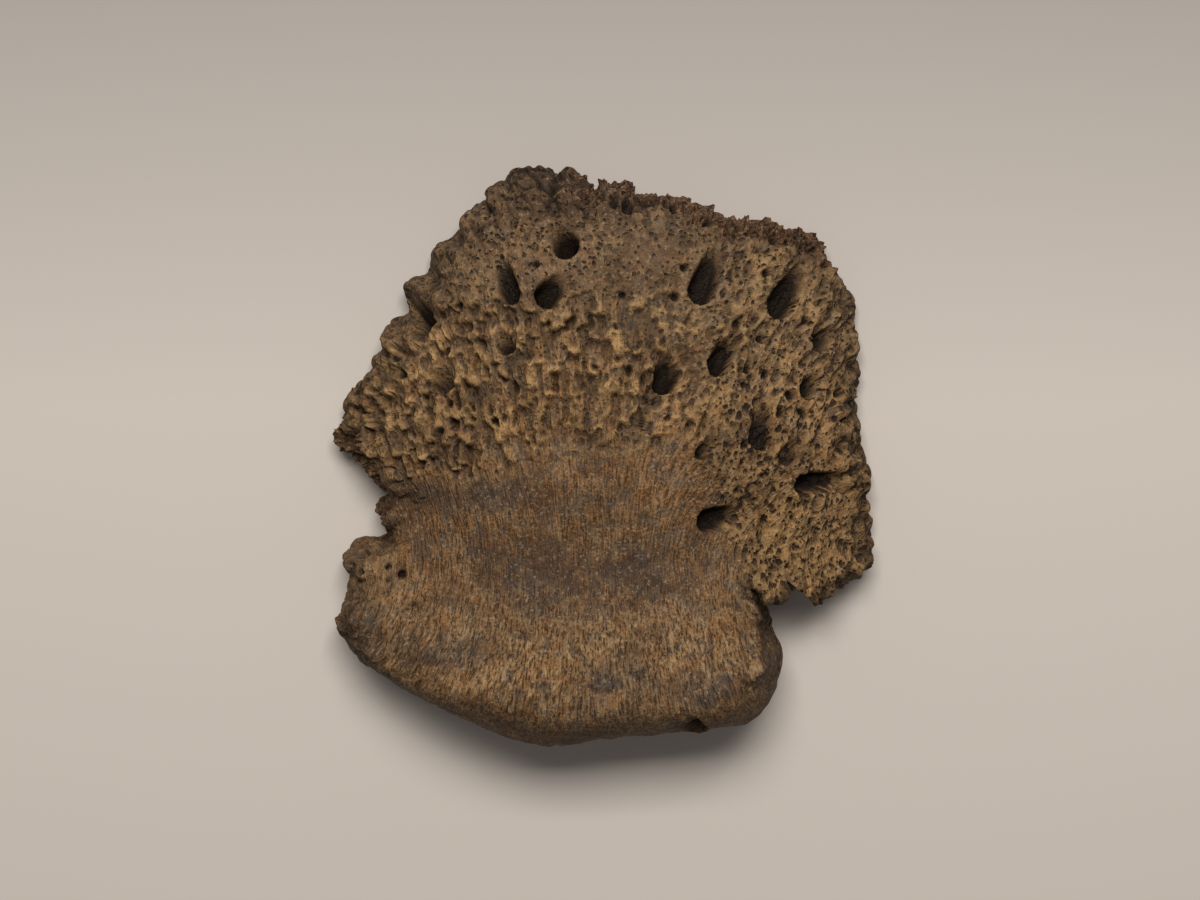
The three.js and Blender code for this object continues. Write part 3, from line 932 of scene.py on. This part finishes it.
def relief(shape, heights, points, normals, edge, wall):
    """Moves of all points in millimetres, the masks that colour the surface, among them painted shade and
    highlight, and the fibre lines.

    In each mask the strongest part counts, and the factors say how strong a part is at most.
    """
    at = survey(shape, points, normals, edge, wall)
    knob, knob_crease = knobs(at)
    step, step_cave = breaks(at)
    tongue, tongue_groove, tongue_highlight = tongues(at)
    slot, slot_hollow, slot_rim_highlight = slots(at)
    pore, pore_hollow, pore_wall = sponge(at)
    canal, canal_lean, canal_lip = canals(shape, at)
    pit = pits(shape, at)
    mark = edge_marks(shape, at)
    crest = np.maximum(crests(shape, at), VEIN_SHARE * veins(at))
    grain = waves(points / GRAIN_CELL, salt=71, octaves=3)

    lift = heights.knob_height * knob + heights.break_height * step + heights.tongue_height * tongue
    lift += heights.pit_depth * (pore + slot) + heights.grain_height * grain
    lift = lift / MM + streaks(shape, at) + CREST_RISE * crest
    lift *= 1.0 - CANAL_CALM * smooth(*CANAL_CALM_DEPTH, canal)
    lift += canal_lip + mark - pit - canal * math.cos(CANAL_LEAN)
    moves = normals * lift[:, None] + canal_lean * canal[:, None]

    # Painted shade in the hollows: canals, pits, nicks, bowls, tongue grooves, slots, knob creases and caves
    hollows = (
        smooth(*CANAL_DARK, canal),
        smooth(*PIT_DARK, pit),
        0.6 * smooth(*NICK_DARK, mark),
        pore_hollow,
        0.5 * tongue_groove,
        0.9 * slot_hollow,
        0.9 * knob_crease,
        0.8 * step_cave,
    )
    # Painted shade in umber on the rolled rim of the joint where it faces down and on the side wall, the
    # dusks, which are partly painted shade, and a darker knobbly summit
    shaded = (
        at.joint * smooth(*ROLL_FACING, at.up),
        at.summit,
        0.7 * at.wall,
        0.5 * stains(shape, at, DUSKS),
    )
    ash = at.spongy * smooth(*ASH_SPAN, at.y + ASH_SLANT * at.x)
    gilt = at.spongy * at.right_wing * smooth(*GILT_SPAN, at.y)
    masks = {
        "hollow": np.maximum.reduce(hollows),
        # Painted highlight on tongue tips, slot rims, walls between bowls, crests, veins and a little on the
        # lump
        "crest": np.maximum.reduce([tongue_highlight, slot_rim_highlight, 0.6 * pore_wall, crest, 0.3 * at.lump]),
        "ashen": np.maximum(ash, 0.3 * at.lump),
        "porous": at.porous,
        "broken": at.broken,
        "stain": stains(shape, at, STAINS),
        "lip": at.lip,
        "gilt": np.maximum(at.lip, 0.8 * gilt),
        # Painted shade of the rolled rim, the side wall and the dusks, and the darker summit
        "under": np.maximum.reduce(shaded),
    }
    return moves, masks, {"flow": at.flow, "web": at.web}


# Corners of the triangles between rim and sole: columns from each pair's first, and rows down
FAN_CORNERS = (((0, 0, 1), (0, 1, 0)), ((1, 0, 2), (0, 1, 1)), ((1, 2, 2), (0, 1, 0)))
# Bake picture, in shares of its side: corners of the back's and the sole's rectangles, then the rim's strips
BACK_CORNERS, SOLE_CORNERS = ((0.01, 0.01), (0.71, 0.71)), ((0.99, 0.01), (0.73, 0.70))
STRIP_LEFT, STRIP_LENGTH, STRIP_FOOT, STRIP_HEIGHT, STRIP_STEP = 0.01, 0.98, 0.72, 0.125, 0.135


def bake_corners(shape):
    """Places of all face corners on the bake picture: back and sole in rectangles, the rim in two strips."""
    steps, rows = shape.steps, shape.rim_rows
    half_round = 2 * steps

    def square(count, low, high):
        """A grid's cells spread over a rectangle of the picture."""
        line = np.linspace(0.0, 1.0, count + 1)
        places = np.stack(np.meshgrid(mix(low[0], high[0], line), mix(low[1], high[1], line)), axis=-1)
        return places.reshape(-1, 2)[square_faces(count)]

    def strip(column, row, upper):
        """A place in the rim's strips, the second half of the way round lying above the first."""
        across = STRIP_LEFT + STRIP_LENGTH * (column - half_round * upper) / half_round
        up = STRIP_FOOT + STRIP_STEP * upper + STRIP_HEIGHT * row / rows
        return np.stack(np.broadcast_arrays(across, up), axis=-1)

    column, row = [part[..., None] for part in np.meshgrid(np.arange(4 * steps), np.arange(rows - 1))]
    belt = strip(column + np.array([0, 0, 1, 1]), row + np.array([0, 1, 1, 0]), column >= half_round)
    pair = np.arange(half_round)[:, None]
    fans = [strip(2 * pair + np.array(c), rows - 1 + np.array(r), pair >= steps) for c, r in FAN_CORNERS]
    sole = square(steps // 2, *SOLE_CORNERS)[:, ::-1]
    parts = [square(steps, *BACK_CORNERS), belt, sole, *fans]
    return np.concatenate([part.reshape(-1, 2) for part in parts])


def bone_mesh(shape, heights):
    """The finished bone as a mesh, with masks and fibre lines as point attributes. Breaks stay angular."""
    points, quads, joins, edge, wall = bone_grid(shape)
    normals = vertex_normals(points, quads, joins)
    moves, masks, lines = relief(shape, heights, points, normals, edge, wall)
    points = points + moves
    points[:, 2] = np.maximum(points[:, 2], 0.0)
    mesh = bpy.data.meshes.new("ungual_bone_skin")
    mesh.from_pydata((points * MM).tolist(), [], quads.tolist() + joins.tolist())
    rounded = masks["broken"][quads].mean(axis=1) < 0.5
    mesh.polygons.foreach_set("use_smooth", np.concatenate([rounded, np.ones(len(joins), dtype=bool)]))
    for name, values in masks.items():
        mesh.attributes.new(name, "FLOAT", "POINT").data.foreach_set("value", values.astype(np.float32))
    for name, values in lines.items():
        made = mesh.attributes.new(name, "FLOAT_VECTOR", "POINT")
        made.data.foreach_set("vector", values.astype(np.float32).ravel())
    mesh.uv_layers.new(name="OFBake").data.foreach_set("uv", bake_corners(shape).astype(np.float32).ravel())
    return mesh


# Pores of the material, in cells: slope of the side, painted shade from the joint end to the hoof end, and
# the rim, painted as a highlight
PORE_SLOPE, PORE_SHADE = (0.0, 0.14), (-0.35, 0.1, 0.25, 1.0)
PORE_RIM_OUTER, PORE_RIM_INNER, PORE_RIM_ENDS = (-0.2, 0.0), (0.12, 0.0), (0.0, -0.2)
# Places of the colour sockets on a Mix node
COLOUR_FIRST, COLOUR_SECOND, COLOUR_MIXED = 6, 7, 2


class Wiring:
    """Adds nodes to a material and joins their sockets."""

    def __init__(self, material):
        material.use_nodes = True
        self.tree = material.node_tree
        self.tree.nodes.clear()

    def put(self, socket, value):
        """A value set on a socket, or another socket joined to it."""
        if isinstance(value, bpy.types.NodeSocket):
            self.tree.links.new(value, socket)
        else:
            socket.default_value = value

    def node(self, kind, inputs=None, **settings):
        """A node with its settings made and its inputs set or joined."""
        made = self.tree.nodes.new(kind)
        for name, value in settings.items():
            setattr(made, name, value)
        for name, value in (inputs or {}).items():
            self.put(made.inputs[name], value)
        return made

    def attribute(self, name, output):
        """A point attribute of the mesh."""
        return self.node("ShaderNodeAttribute", attribute_name=name).outputs[output]

    def cells(self, vector, across, along, up):
        """Places counted in cells of the given width, length and height."""
        scale = (1.0 / across, 1.0 / along, 1.0 / up)
        return self.node("ShaderNodeMapping", {"Vector": vector, "Scale": scale}).outputs["Vector"]

    def noise(self, vector, detail=2.0, roughness=0.6, output="Fac"):
        """Random waves from 0 to 1."""
        inputs = {"Vector": vector, "Scale": 1.0, "Detail": detail, "Roughness": roughness}
        return self.node("ShaderNodeTexNoise", inputs).outputs[output]

    def times(self, first, second):
        """The product of two values."""
        return self.node("ShaderNodeMath", {0: first, 1: second}, operation="MULTIPLY").outputs[0]

    def largest(self, first, second):
        """The larger of two values."""
        return self.node("ShaderNodeMath", {0: first, 1: second}, operation="MAXIMUM").outputs[0]

    def total(self, *terms):
        """The sum of values, each given with its weight."""
        whole = 0.0
        for value, weight in terms:
            inputs = {0: value, 1: weight, 2: whole}
            whole = self.node("ShaderNodeMath", inputs, operation="MULTIPLY_ADD").outputs[0]
        return whole

    def span(self, value, low, high, start=0.0, end=1.0):
        """A value's span from low to high stretched to start to end, and held there outside it."""
        inputs = {"Value": value, "From Min": low, "From Max": high, "To Min": start, "To Max": end}
        return self.node("ShaderNodeMapRange", inputs).outputs["Result"]

    def within(self, mask, *span):
        """A span as above, inside a mask."""
        return self.times(mask, self.span(*span))

    def pits(self, vector, smallest, largest):
        """Round pits, one to a cell, with radii in cells: how dark they are painted as shade, and the rim at
        the joint end, painted as a highlight.
        """
        cell = self.node("ShaderNodeTexVoronoi", {"Vector": vector, "Scale": 1.0}, feature="F1").outputs
        lot = self.node("ShaderNodeSeparateColor", {"Color": cell["Color"]}).outputs["Red"]
        inside = self.total((self.span(lot, 0.0, 1.0, smallest, largest), 1.0), (cell["Distance"], -1.0))
        ends = {0: vector, 1: cell["Position"]}
        way = self.node("ShaderNodeVectorMath", ends, operation="SUBTRACT").outputs[0]
        ahead = self.node("ShaderNodeSeparateXYZ", {"Vector": way}).outputs["Y"]
        hole = self.times(self.span(inside, *PORE_SLOPE), self.span(ahead, *PORE_SHADE))
        rim = self.times(self.span(inside, *PORE_RIM_OUTER), self.span(inside, *PORE_RIM_INNER))
        return hole, self.within(rim, ahead, *PORE_RIM_ENDS)

    def blend(self, share, first, second):
        """Two colours blended."""
        made = self.node("ShaderNodeMix", {"Factor": share}, data_type="RGBA", blend_type="MIX")
        self.put(made.inputs[COLOUR_FIRST], first)
        self.put(made.inputs[COLOUR_SECOND], second)
        return made.outputs[COLOUR_MIXED]


class BoneColours(PropertyGroup):
    """Colours of the fossil bone."""

    tan: colour_property("Tan", "Light fibres", 0.265, 0.150, 0.066)
    brown: colour_property("Brown", "Dark fibres", 0.054, 0.028, 0.013)
    # Ochre is also mixed into the painted highlight
    ochre: colour_property("Ochre", "Crests and lip band", 0.41, 0.238, 0.088)
    amber: colour_property("Amber", "Rusty fibres", 0.20, 0.088, 0.026)
    ash: colour_property("Ash", "Grey skin of the hoof", 0.182, 0.114, 0.061)
    slate: colour_property("Slate", "Blue-grey stains", 0.058, 0.050, 0.042)
    rust: colour_property("Rust", "Broken spongy bone", 0.105, 0.046, 0.024)
    # Umber is also the painted shade of the rolled rim, the side wall and the gaps between the lip's fibres
    umber: colour_property("Umber", "Rolled rim of the joint", 0.050, 0.028, 0.017)
    # Pale is also mixed a little into the painted highlight
    pale: colour_property("Pale", "Light grains", 0.40, 0.30, 0.19)
    # Depth is painted shade inside canals, pits, pores and other hollows
    depth: colour_property("Depth", "Inside of canals and pits", 0.012, 0.007, 0.004)


# Masks of the mesh, among them painted shade in the hollows and on the rolled rim, and painted highlight on
# crests
MASKS = ("hollow", "crest", "ashen", "porous", "broken", "stain", "lip", "gilt", "under")
# Cells of the material's waves and pores in millimetres: across, along and up the fibres
FINE_CELL, COARSE_CELL, TINT_CELL = (0.24, 2.6, 0.6), (0.45, 4.5, 1.2), (0.7, 2.6, 1.0)
LARGE_PORE_CELL, SMALL_PORE_CELL = (1.0, 1.9, 1.2), (0.55, 0.85, 0.6)
# Smallest and largest radius of the pores in cells, of which those below zero don't show
LARGE_PORES, SMALL_PORES = (-0.1, 0.7), (-0.12, 0.62)
# Sway of the web of fibres, in millimetres
STIR_SWAY = (0.6, 0.9, 0.6)


def bone_patterns(wire):
    """Random waves of the bone, along the fibres or even each way, and the stirred web of its pores."""
    place = wire.node("ShaderNodeTexCoord").outputs["Object"]
    flow = wire.attribute("flow", "Vector")

    def even(size, **settings):
        """Waves with cells of one size each way, in millimetres."""
        return wire.noise(wire.cells(place, size * MM, size * MM, size * MM), **settings)

    stir = even(1.1, detail=1.0, roughness=0.5, output="Color")
    inputs = {0: stir, 1: STIR_SWAY, 2: wire.attribute("web", "Vector")}
    return SimpleNamespace(
        web=wire.node("ShaderNodeVectorMath", inputs, operation="MULTIPLY_ADD").outputs[0],
        fine=wire.noise(wire.cells(flow, *FINE_CELL)),
        coarse=wire.noise(wire.cells(flow, *COARSE_CELL)),
        tint=wire.noise(wire.cells(flow, *TINT_CELL)),
        grain=even(0.4),
        speck=even(0.6, detail=1.0),
        mottle=even(2.2, detail=3.0),
        clouds=even(3.6, detail=4.0, roughness=0.65),
        patches=even(7.0, detail=4.0, roughness=0.65),
    )


def bone_light(wire, at, seen):
    """How light the fibres are, from 0 to 1: threads along them, flecks on the rolled rim, calm in pores."""
    rolled = wire.span(at.under, 0.0, 0.4)
    threads = wire.total((seen.fine, 0.45), (seen.coarse, 0.2), (seen.grain, 0.35))
    flecks = wire.total((seen.grain, 0.5), (seen.speck, 0.5))
    fibrous = wire.total((threads, wire.span(rolled, 0.0, 1.0, 1.0, 0.0)), (flecks, rolled))
    fibrous = wire.span(fibrous, 0.43, 0.57)
    calm = wire.largest(at.porous, wire.times(at.lip, 0.8))
    return wire.total((wire.times(fibrous, wire.span(calm, 0.0, 1.0, 1.0, 0.5)), 1.0), (calm, 0.32))


def bone_pores(wire, at, seen):
    """Large and small pores, painted dark as shade, and their rims, painted light as a highlight, most of
    them on the porous bone. Grey skin closes large ones.
    """
    large, large_rim = wire.pits(wire.cells(seen.web, *LARGE_PORE_CELL), *LARGE_PORES)
    small, small_rim = wire.pits(wire.cells(seen.web, *SMALL_PORE_CELL), *SMALL_PORES)
    share = wire.span(at.porous, 0.0, 1.0, 0.08, 0.95)
    skin = wire.span(at.ashen, 0.0, 1.0, 1.0, 0.5)
    pore = wire.times(wire.largest(wire.times(large, skin), small), share)
    rim = wire.times(wire.largest(wire.times(large_rim, skin), wire.times(small_rim, 0.6)), share)
    return pore, rim


def bone_colour(wire, colours, at, seen, gaps, pore, rim):
    """Colour of the bone: coats laid one over another, each with the share that shows and its tone."""
    light = bone_light(wire, at, seen)
    rusty = wire.blend(light, colours.brown, colours.amber)
    cool = wire.blend(light, colours.slate, colours.ash)
    gilded = wire.blend(light, colours.brown, colours.ochre)
    stained = wire.blend(light, colours.umber, colours.slate)
    # Painted highlight: a pale ochre for lit crests and rims
    painted_highlight = wire.blend(0.15, colours.ochre, colours.pale)
    # Crumbs of the break: rust speckled with the painted shade of its small holes
    crumbs = wire.blend(wire.span(seen.grain, 0.38, 0.60), colours.depth, colours.rust)
    coats = (
        (wire.span(seen.clouds, 0.48, 0.41, 0.0, 0.8), rusty),
        (wire.span(seen.tint, 0.50, 0.68, 0.0, 0.6), rusty),
        (wire.span(seen.clouds, 0.51, 0.59, 0.0, 0.85), cool),
        (wire.total((wire.span(seen.tint, 0.48, 0.34), 0.6), (at.ashen, 0.55)), cool),
        (wire.within(at.gilt, seen.mottle, 0.35, 0.6, 0.15, 0.7), gilded),
        (wire.within(at.lip, seen.mottle, 0.51, 0.62, 0.0, 0.9), stained),
        (wire.within(at.lip, seen.clouds, 0.47, 0.39, 0.0, 0.6), rusty),
        (wire.within(at.lip, seen.coarse, 0.56, 0.66, 0.0, 0.45), colours.pale),
        # Painted shade in the gaps between the lip's fibres
        (wire.times(gaps, 0.35), colours.umber),
        # Painted highlight on the crests
        (wire.within(at.crest, seen.mottle, 0.3, 0.6, 0.5, 1.0), painted_highlight),
        (wire.within(at.stain, seen.mottle, 0.35, 0.6, 0.4, 0.95), stained),
        (wire.span(seen.patches, 0.47, 0.60, 0.0, 0.5), colours.brown),
        (wire.within(at.ashen, seen.mottle, 0.50, 0.64, 0.0, 0.45), colours.brown),
        # Painted shade in umber on the rolled rim, the side wall and the dusks, and the darker summit
        (wire.within(at.under, seen.mottle, 0.35, 0.65, 1.0, 0.6), colours.umber),
        (wire.within(at.broken, seen.mottle, 0.3, 0.65, 1.0, 0.6), crumbs),
        (wire.span(seen.speck, 0.60, 0.72, 0.0, 0.35), colours.pale),
        (wire.span(seen.speck, 0.38, 0.28, 0.0, 0.5), colours.rust),
        # Painted highlight on the rims of the pores
        (wire.times(rim, 0.5), painted_highlight),
        # Painted shade in the pores, darkest at their hoof end
        (pore, colours.depth),
        # Painted shade in all hollows
        (at.hollow, colours.depth),
    )
    colour = wire.blend(light, colours.brown, colours.tan)
    for share, tone in coats:
        colour = wire.blend(share, colour, tone)
    return colour


def bone_material(colours):
    """Fossil bone: fibres of mixed hue, a web of walls and pits on the hoof, rusty breaks, hollows painted
    dark as shade and crests painted light as highlights.
    """
    material = bpy.data.materials.new("fossil_bone")
    wire = Wiring(material)
    at = SimpleNamespace(**{name: wire.attribute(name, "Fac") for name in MASKS})
    seen = bone_patterns(wire)
    strands = wire.total((seen.fine, 0.6), (seen.coarse, 0.4))
    # Gaps between the lip's fibres, sunk in the bump and painted dark as shade
    gaps = wire.times(wire.span(strands, 0.44, 0.36), at.lip)
    pore, rim = bone_pores(wire, at, seen)
    fibres = ((seen.fine, 0.6), (seen.coarse, 0.8), (seen.grain, 0.4))
    raised = wire.total(*fibres, (rim, 0.4), (pore, -0.9), (gaps, -0.6))
    bump = wire.node("ShaderNodeBump", {"Height": raised, "Strength": 0.9, "Distance": 0.6 * MM})
    shader = wire.node(
        "ShaderNodeBsdfPrincipled",
        {
            "Base Color": bone_colour(wire, colours, at, seen, gaps, pore, rim),
            "Roughness": wire.span(seen.mottle, 0.3, 0.7, 0.6, 0.85),
            "Normal": bump.outputs["Normal"],
            "Specular IOR Level": 0.18,
        },
    )
    wire.node("ShaderNodeOutputMaterial", {"Surface": shader.outputs["BSDF"]})
    return material


class UNGUAL_OT_bone(Operator):
    """Build the fossil bone over its solid"""

    bl_idname = "ungual.bone"
    bl_label = "Build Bone"

    def execute(self, context):
        scene = context.scene
        mesh = bone_mesh(scene.ungual_shape, scene.ungual_relief)
        mesh.materials.append(bone_material(scene.ungual_colours))
        bone = bpy.data.objects.new("ungual_bone_finished", mesh)
        scene.collection.objects.link(bone)
        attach(bone, "root")
        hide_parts("ungual_bone")
        return {"FINISHED"}


class StageSettings(PropertyGroup):
    """Floor, lights and camera."""

    floor: colour_property("Floor", "Pale floor", 0.74, 0.675, 0.615)
    # The far floor's colour is painted shade beyond the bone
    shaded_far_floor: colour_property("Far Floor", "Floor beyond the bone", 0.42, 0.39, 0.365)
    camera_distance: length_property("Camera Distance", "From the bone's middle", 0.44)
    camera_tilt: FloatProperty(
        name="Camera Tilt",
        description="Lean of the view to the hoof edge",
        default=math.radians(12),
        subtype="ANGLE",
    )
    lens: FloatProperty(name="Lens", description="Focal length", default=78.3, unit="CAMERA")
    top_power: FloatProperty(
        name="Top Power", description="Wide soft light overhead", default=6.6, unit="POWER"
    )
    key_power: FloatProperty(
        name="Key Power", description="Low light over the hoof edge", default=3.6, unit="POWER"
    )
    sky: FloatProperty(name="Sky", description="Strength of the even light from all round", default=0.12)


# Stage in metres: floor, with the span over which its painted shade grows beyond the bone, lights, camera and
# the point it looks at. The sensor is in millimetres
FLOOR_HALF, FLOOR_SHADE_SPAN = 3.0, (0.005, 0.085)
FLOOR_CORNERS = ((-1, -1), (1, -1), (1, 1), (-1, 1))
LIGHT_DISTANCE, LIGHT_COLOUR, ROOM_COLOUR = 0.9, (1.0, 0.96, 0.91), (1.0, 0.97, 0.94, 1.0)
# Width and length of a light, and its height over the floor in degrees
TOP_LIGHT, LOW_LIGHT = ((0.4, 0.22), 61), ((0.35, 0.2), 38)
SENSOR_WIDTH, CLIP_START, AIM = 36.0, 0.01, (-0.0005, 0.0005, 0.015)


def floor_material(settings):
    """Plain matt floor, painted a little darker beyond the bone as shade."""
    material = bpy.data.materials.new("pale_floor")
    wire = Wiring(material)
    place = wire.node("ShaderNodeTexCoord").outputs["Object"]
    along = wire.node("ShaderNodeSeparateXYZ", {"Vector": place}).outputs["Y"]
    tone = wire.blend(wire.span(along, *FLOOR_SHADE_SPAN), settings.floor, settings.shaded_far_floor)
    shader = wire.node("ShaderNodeBsdfPrincipled", {"Base Color": tone, "Roughness": 0.7})
    wire.node("ShaderNodeOutputMaterial", {"Surface": shader.outputs["BSDF"]})
    return material


def flat_floor(scene, settings):
    """A large square floor."""
    mesh = bpy.data.meshes.new("floor")
    corners = [(FLOOR_HALF * across, FLOOR_HALF * along, 0.0) for across, along in FLOOR_CORNERS]
    mesh.from_pydata(corners, [], [(0, 1, 2, 3)])
    mesh.materials.append(floor_material(settings))
    floor = bpy.data.objects.new("floor", mesh)
    scene.collection.objects.link(floor)
    return floor


def soft_light(scene, name, power, size, elevation):
    """A rectangular light over the hoof edge, turned to the origin."""
    lamp = bpy.data.lights.new(name, "AREA")
    lamp.shape = "RECTANGLE"
    lamp.size, lamp.size_y = size
    lamp.energy = power
    lamp.color = LIGHT_COLOUR
    light = bpy.data.objects.new(name, lamp)
    angle = math.radians(elevation)
    light.location = (0.0, LIGHT_DISTANCE * math.cos(angle), LIGHT_DISTANCE * math.sin(angle))
    light.rotation_euler = (angle - math.pi / 2, 0.0, 0.0)
    scene.collection.objects.link(light)
    return light


def soft_room(scene, strength):
    """Even light from all round."""
    world = bpy.data.worlds.new("soft_room")
    world.use_nodes = True
    background = world.node_tree.nodes["Background"]
    background.inputs["Color"].default_value = ROOM_COLOUR
    background.inputs["Strength"].default_value = strength
    scene.world = world


def leaning_camera(scene, settings):
    """A camera over the bone that leans to the hoof edge and looks at the aim."""
    lens = bpy.data.cameras.new("camera")
    lens.lens = settings.lens
    lens.sensor_width = SENSOR_WIDTH
    lens.clip_start = CLIP_START
    camera = bpy.data.objects.new("camera", lens)
    distance, tilt = settings.camera_distance, settings.camera_tilt
    camera.location = (AIM[0], AIM[1] + distance * math.sin(tilt), AIM[2] + distance * math.cos(tilt))
    camera.rotation_euler = (-tilt, 0.0, 0.0)
    scene.collection.objects.link(camera)
    scene.camera = camera


class UNGUAL_OT_stage(Operator):
    """Build the floor, the lights and the camera"""

    bl_idname = "ungual.stage"
    bl_label = "Build Stage"

    def execute(self, context):
        scene = context.scene
        settings = scene.ungual_stage
        lit_low = bpy.data.collections.new("lit_by_the_low_light")
        for piece in scene.objects:
            lit_low.objects.link(piece)
        floor = flat_floor(scene, settings)
        soft_light(scene, "top_light", settings.top_power, *TOP_LIGHT)
        # The low light falls on the bone alone, so that it shows the relief and the floor has no long shadow
        low = soft_light(scene, "low_light", settings.key_power, *LOW_LIGHT)
        low.light_linking.receiver_collection = lit_low
        soft_room(scene, settings.sky)
        scene.view_settings.view_transform = "Standard"
        leaning_camera(scene, settings)
        return {"FINISHED"}


class UNGUAL_PT_panel(Panel):
    """Lists the bone's builders and their settings"""

    bl_idname = "UNGUAL_PT_panel"
    bl_label = "Hoof Bone"
    bl_space_type = "VIEW_3D"
    bl_region_type = "UI"
    bl_category = "Hoof Bone"

    def draw(self, context):
        layout = self.layout
        for operator, settings in (
            (UNGUAL_OT_bone, ("ungual_shape", "ungual_relief", "ungual_colours")),
            (UNGUAL_OT_stage, ("ungual_stage",)),
        ):
            layout.operator(operator.bl_idname)
            for name in settings:
                group = getattr(context.scene, name)
                for field in group.__annotations__:
                    layout.prop(group, field)


GROUPS = {
    "ungual_shape": BoneShape,
    "ungual_relief": BoneRelief,
    "ungual_colours": BoneColours,
    "ungual_stage": StageSettings,
}
CLASSES = (*GROUPS.values(), UNGUAL_OT_bone, UNGUAL_OT_stage, UNGUAL_PT_panel)


def register():
    for made in CLASSES:
        bpy.utils.register_class(made)
    for name, group in GROUPS.items():
        setattr(bpy.types.Scene, name, PointerProperty(type=group))


def unregister():
    for name in GROUPS:
        delattr(bpy.types.Scene, name)
    for made in reversed(CLASSES):
        bpy.utils.unregister_class(made)


def main():
    register()
    bpy.ops.ungual.bone()
    bpy.ops.ungual.stage()


if __name__ == "__main__":
    main()
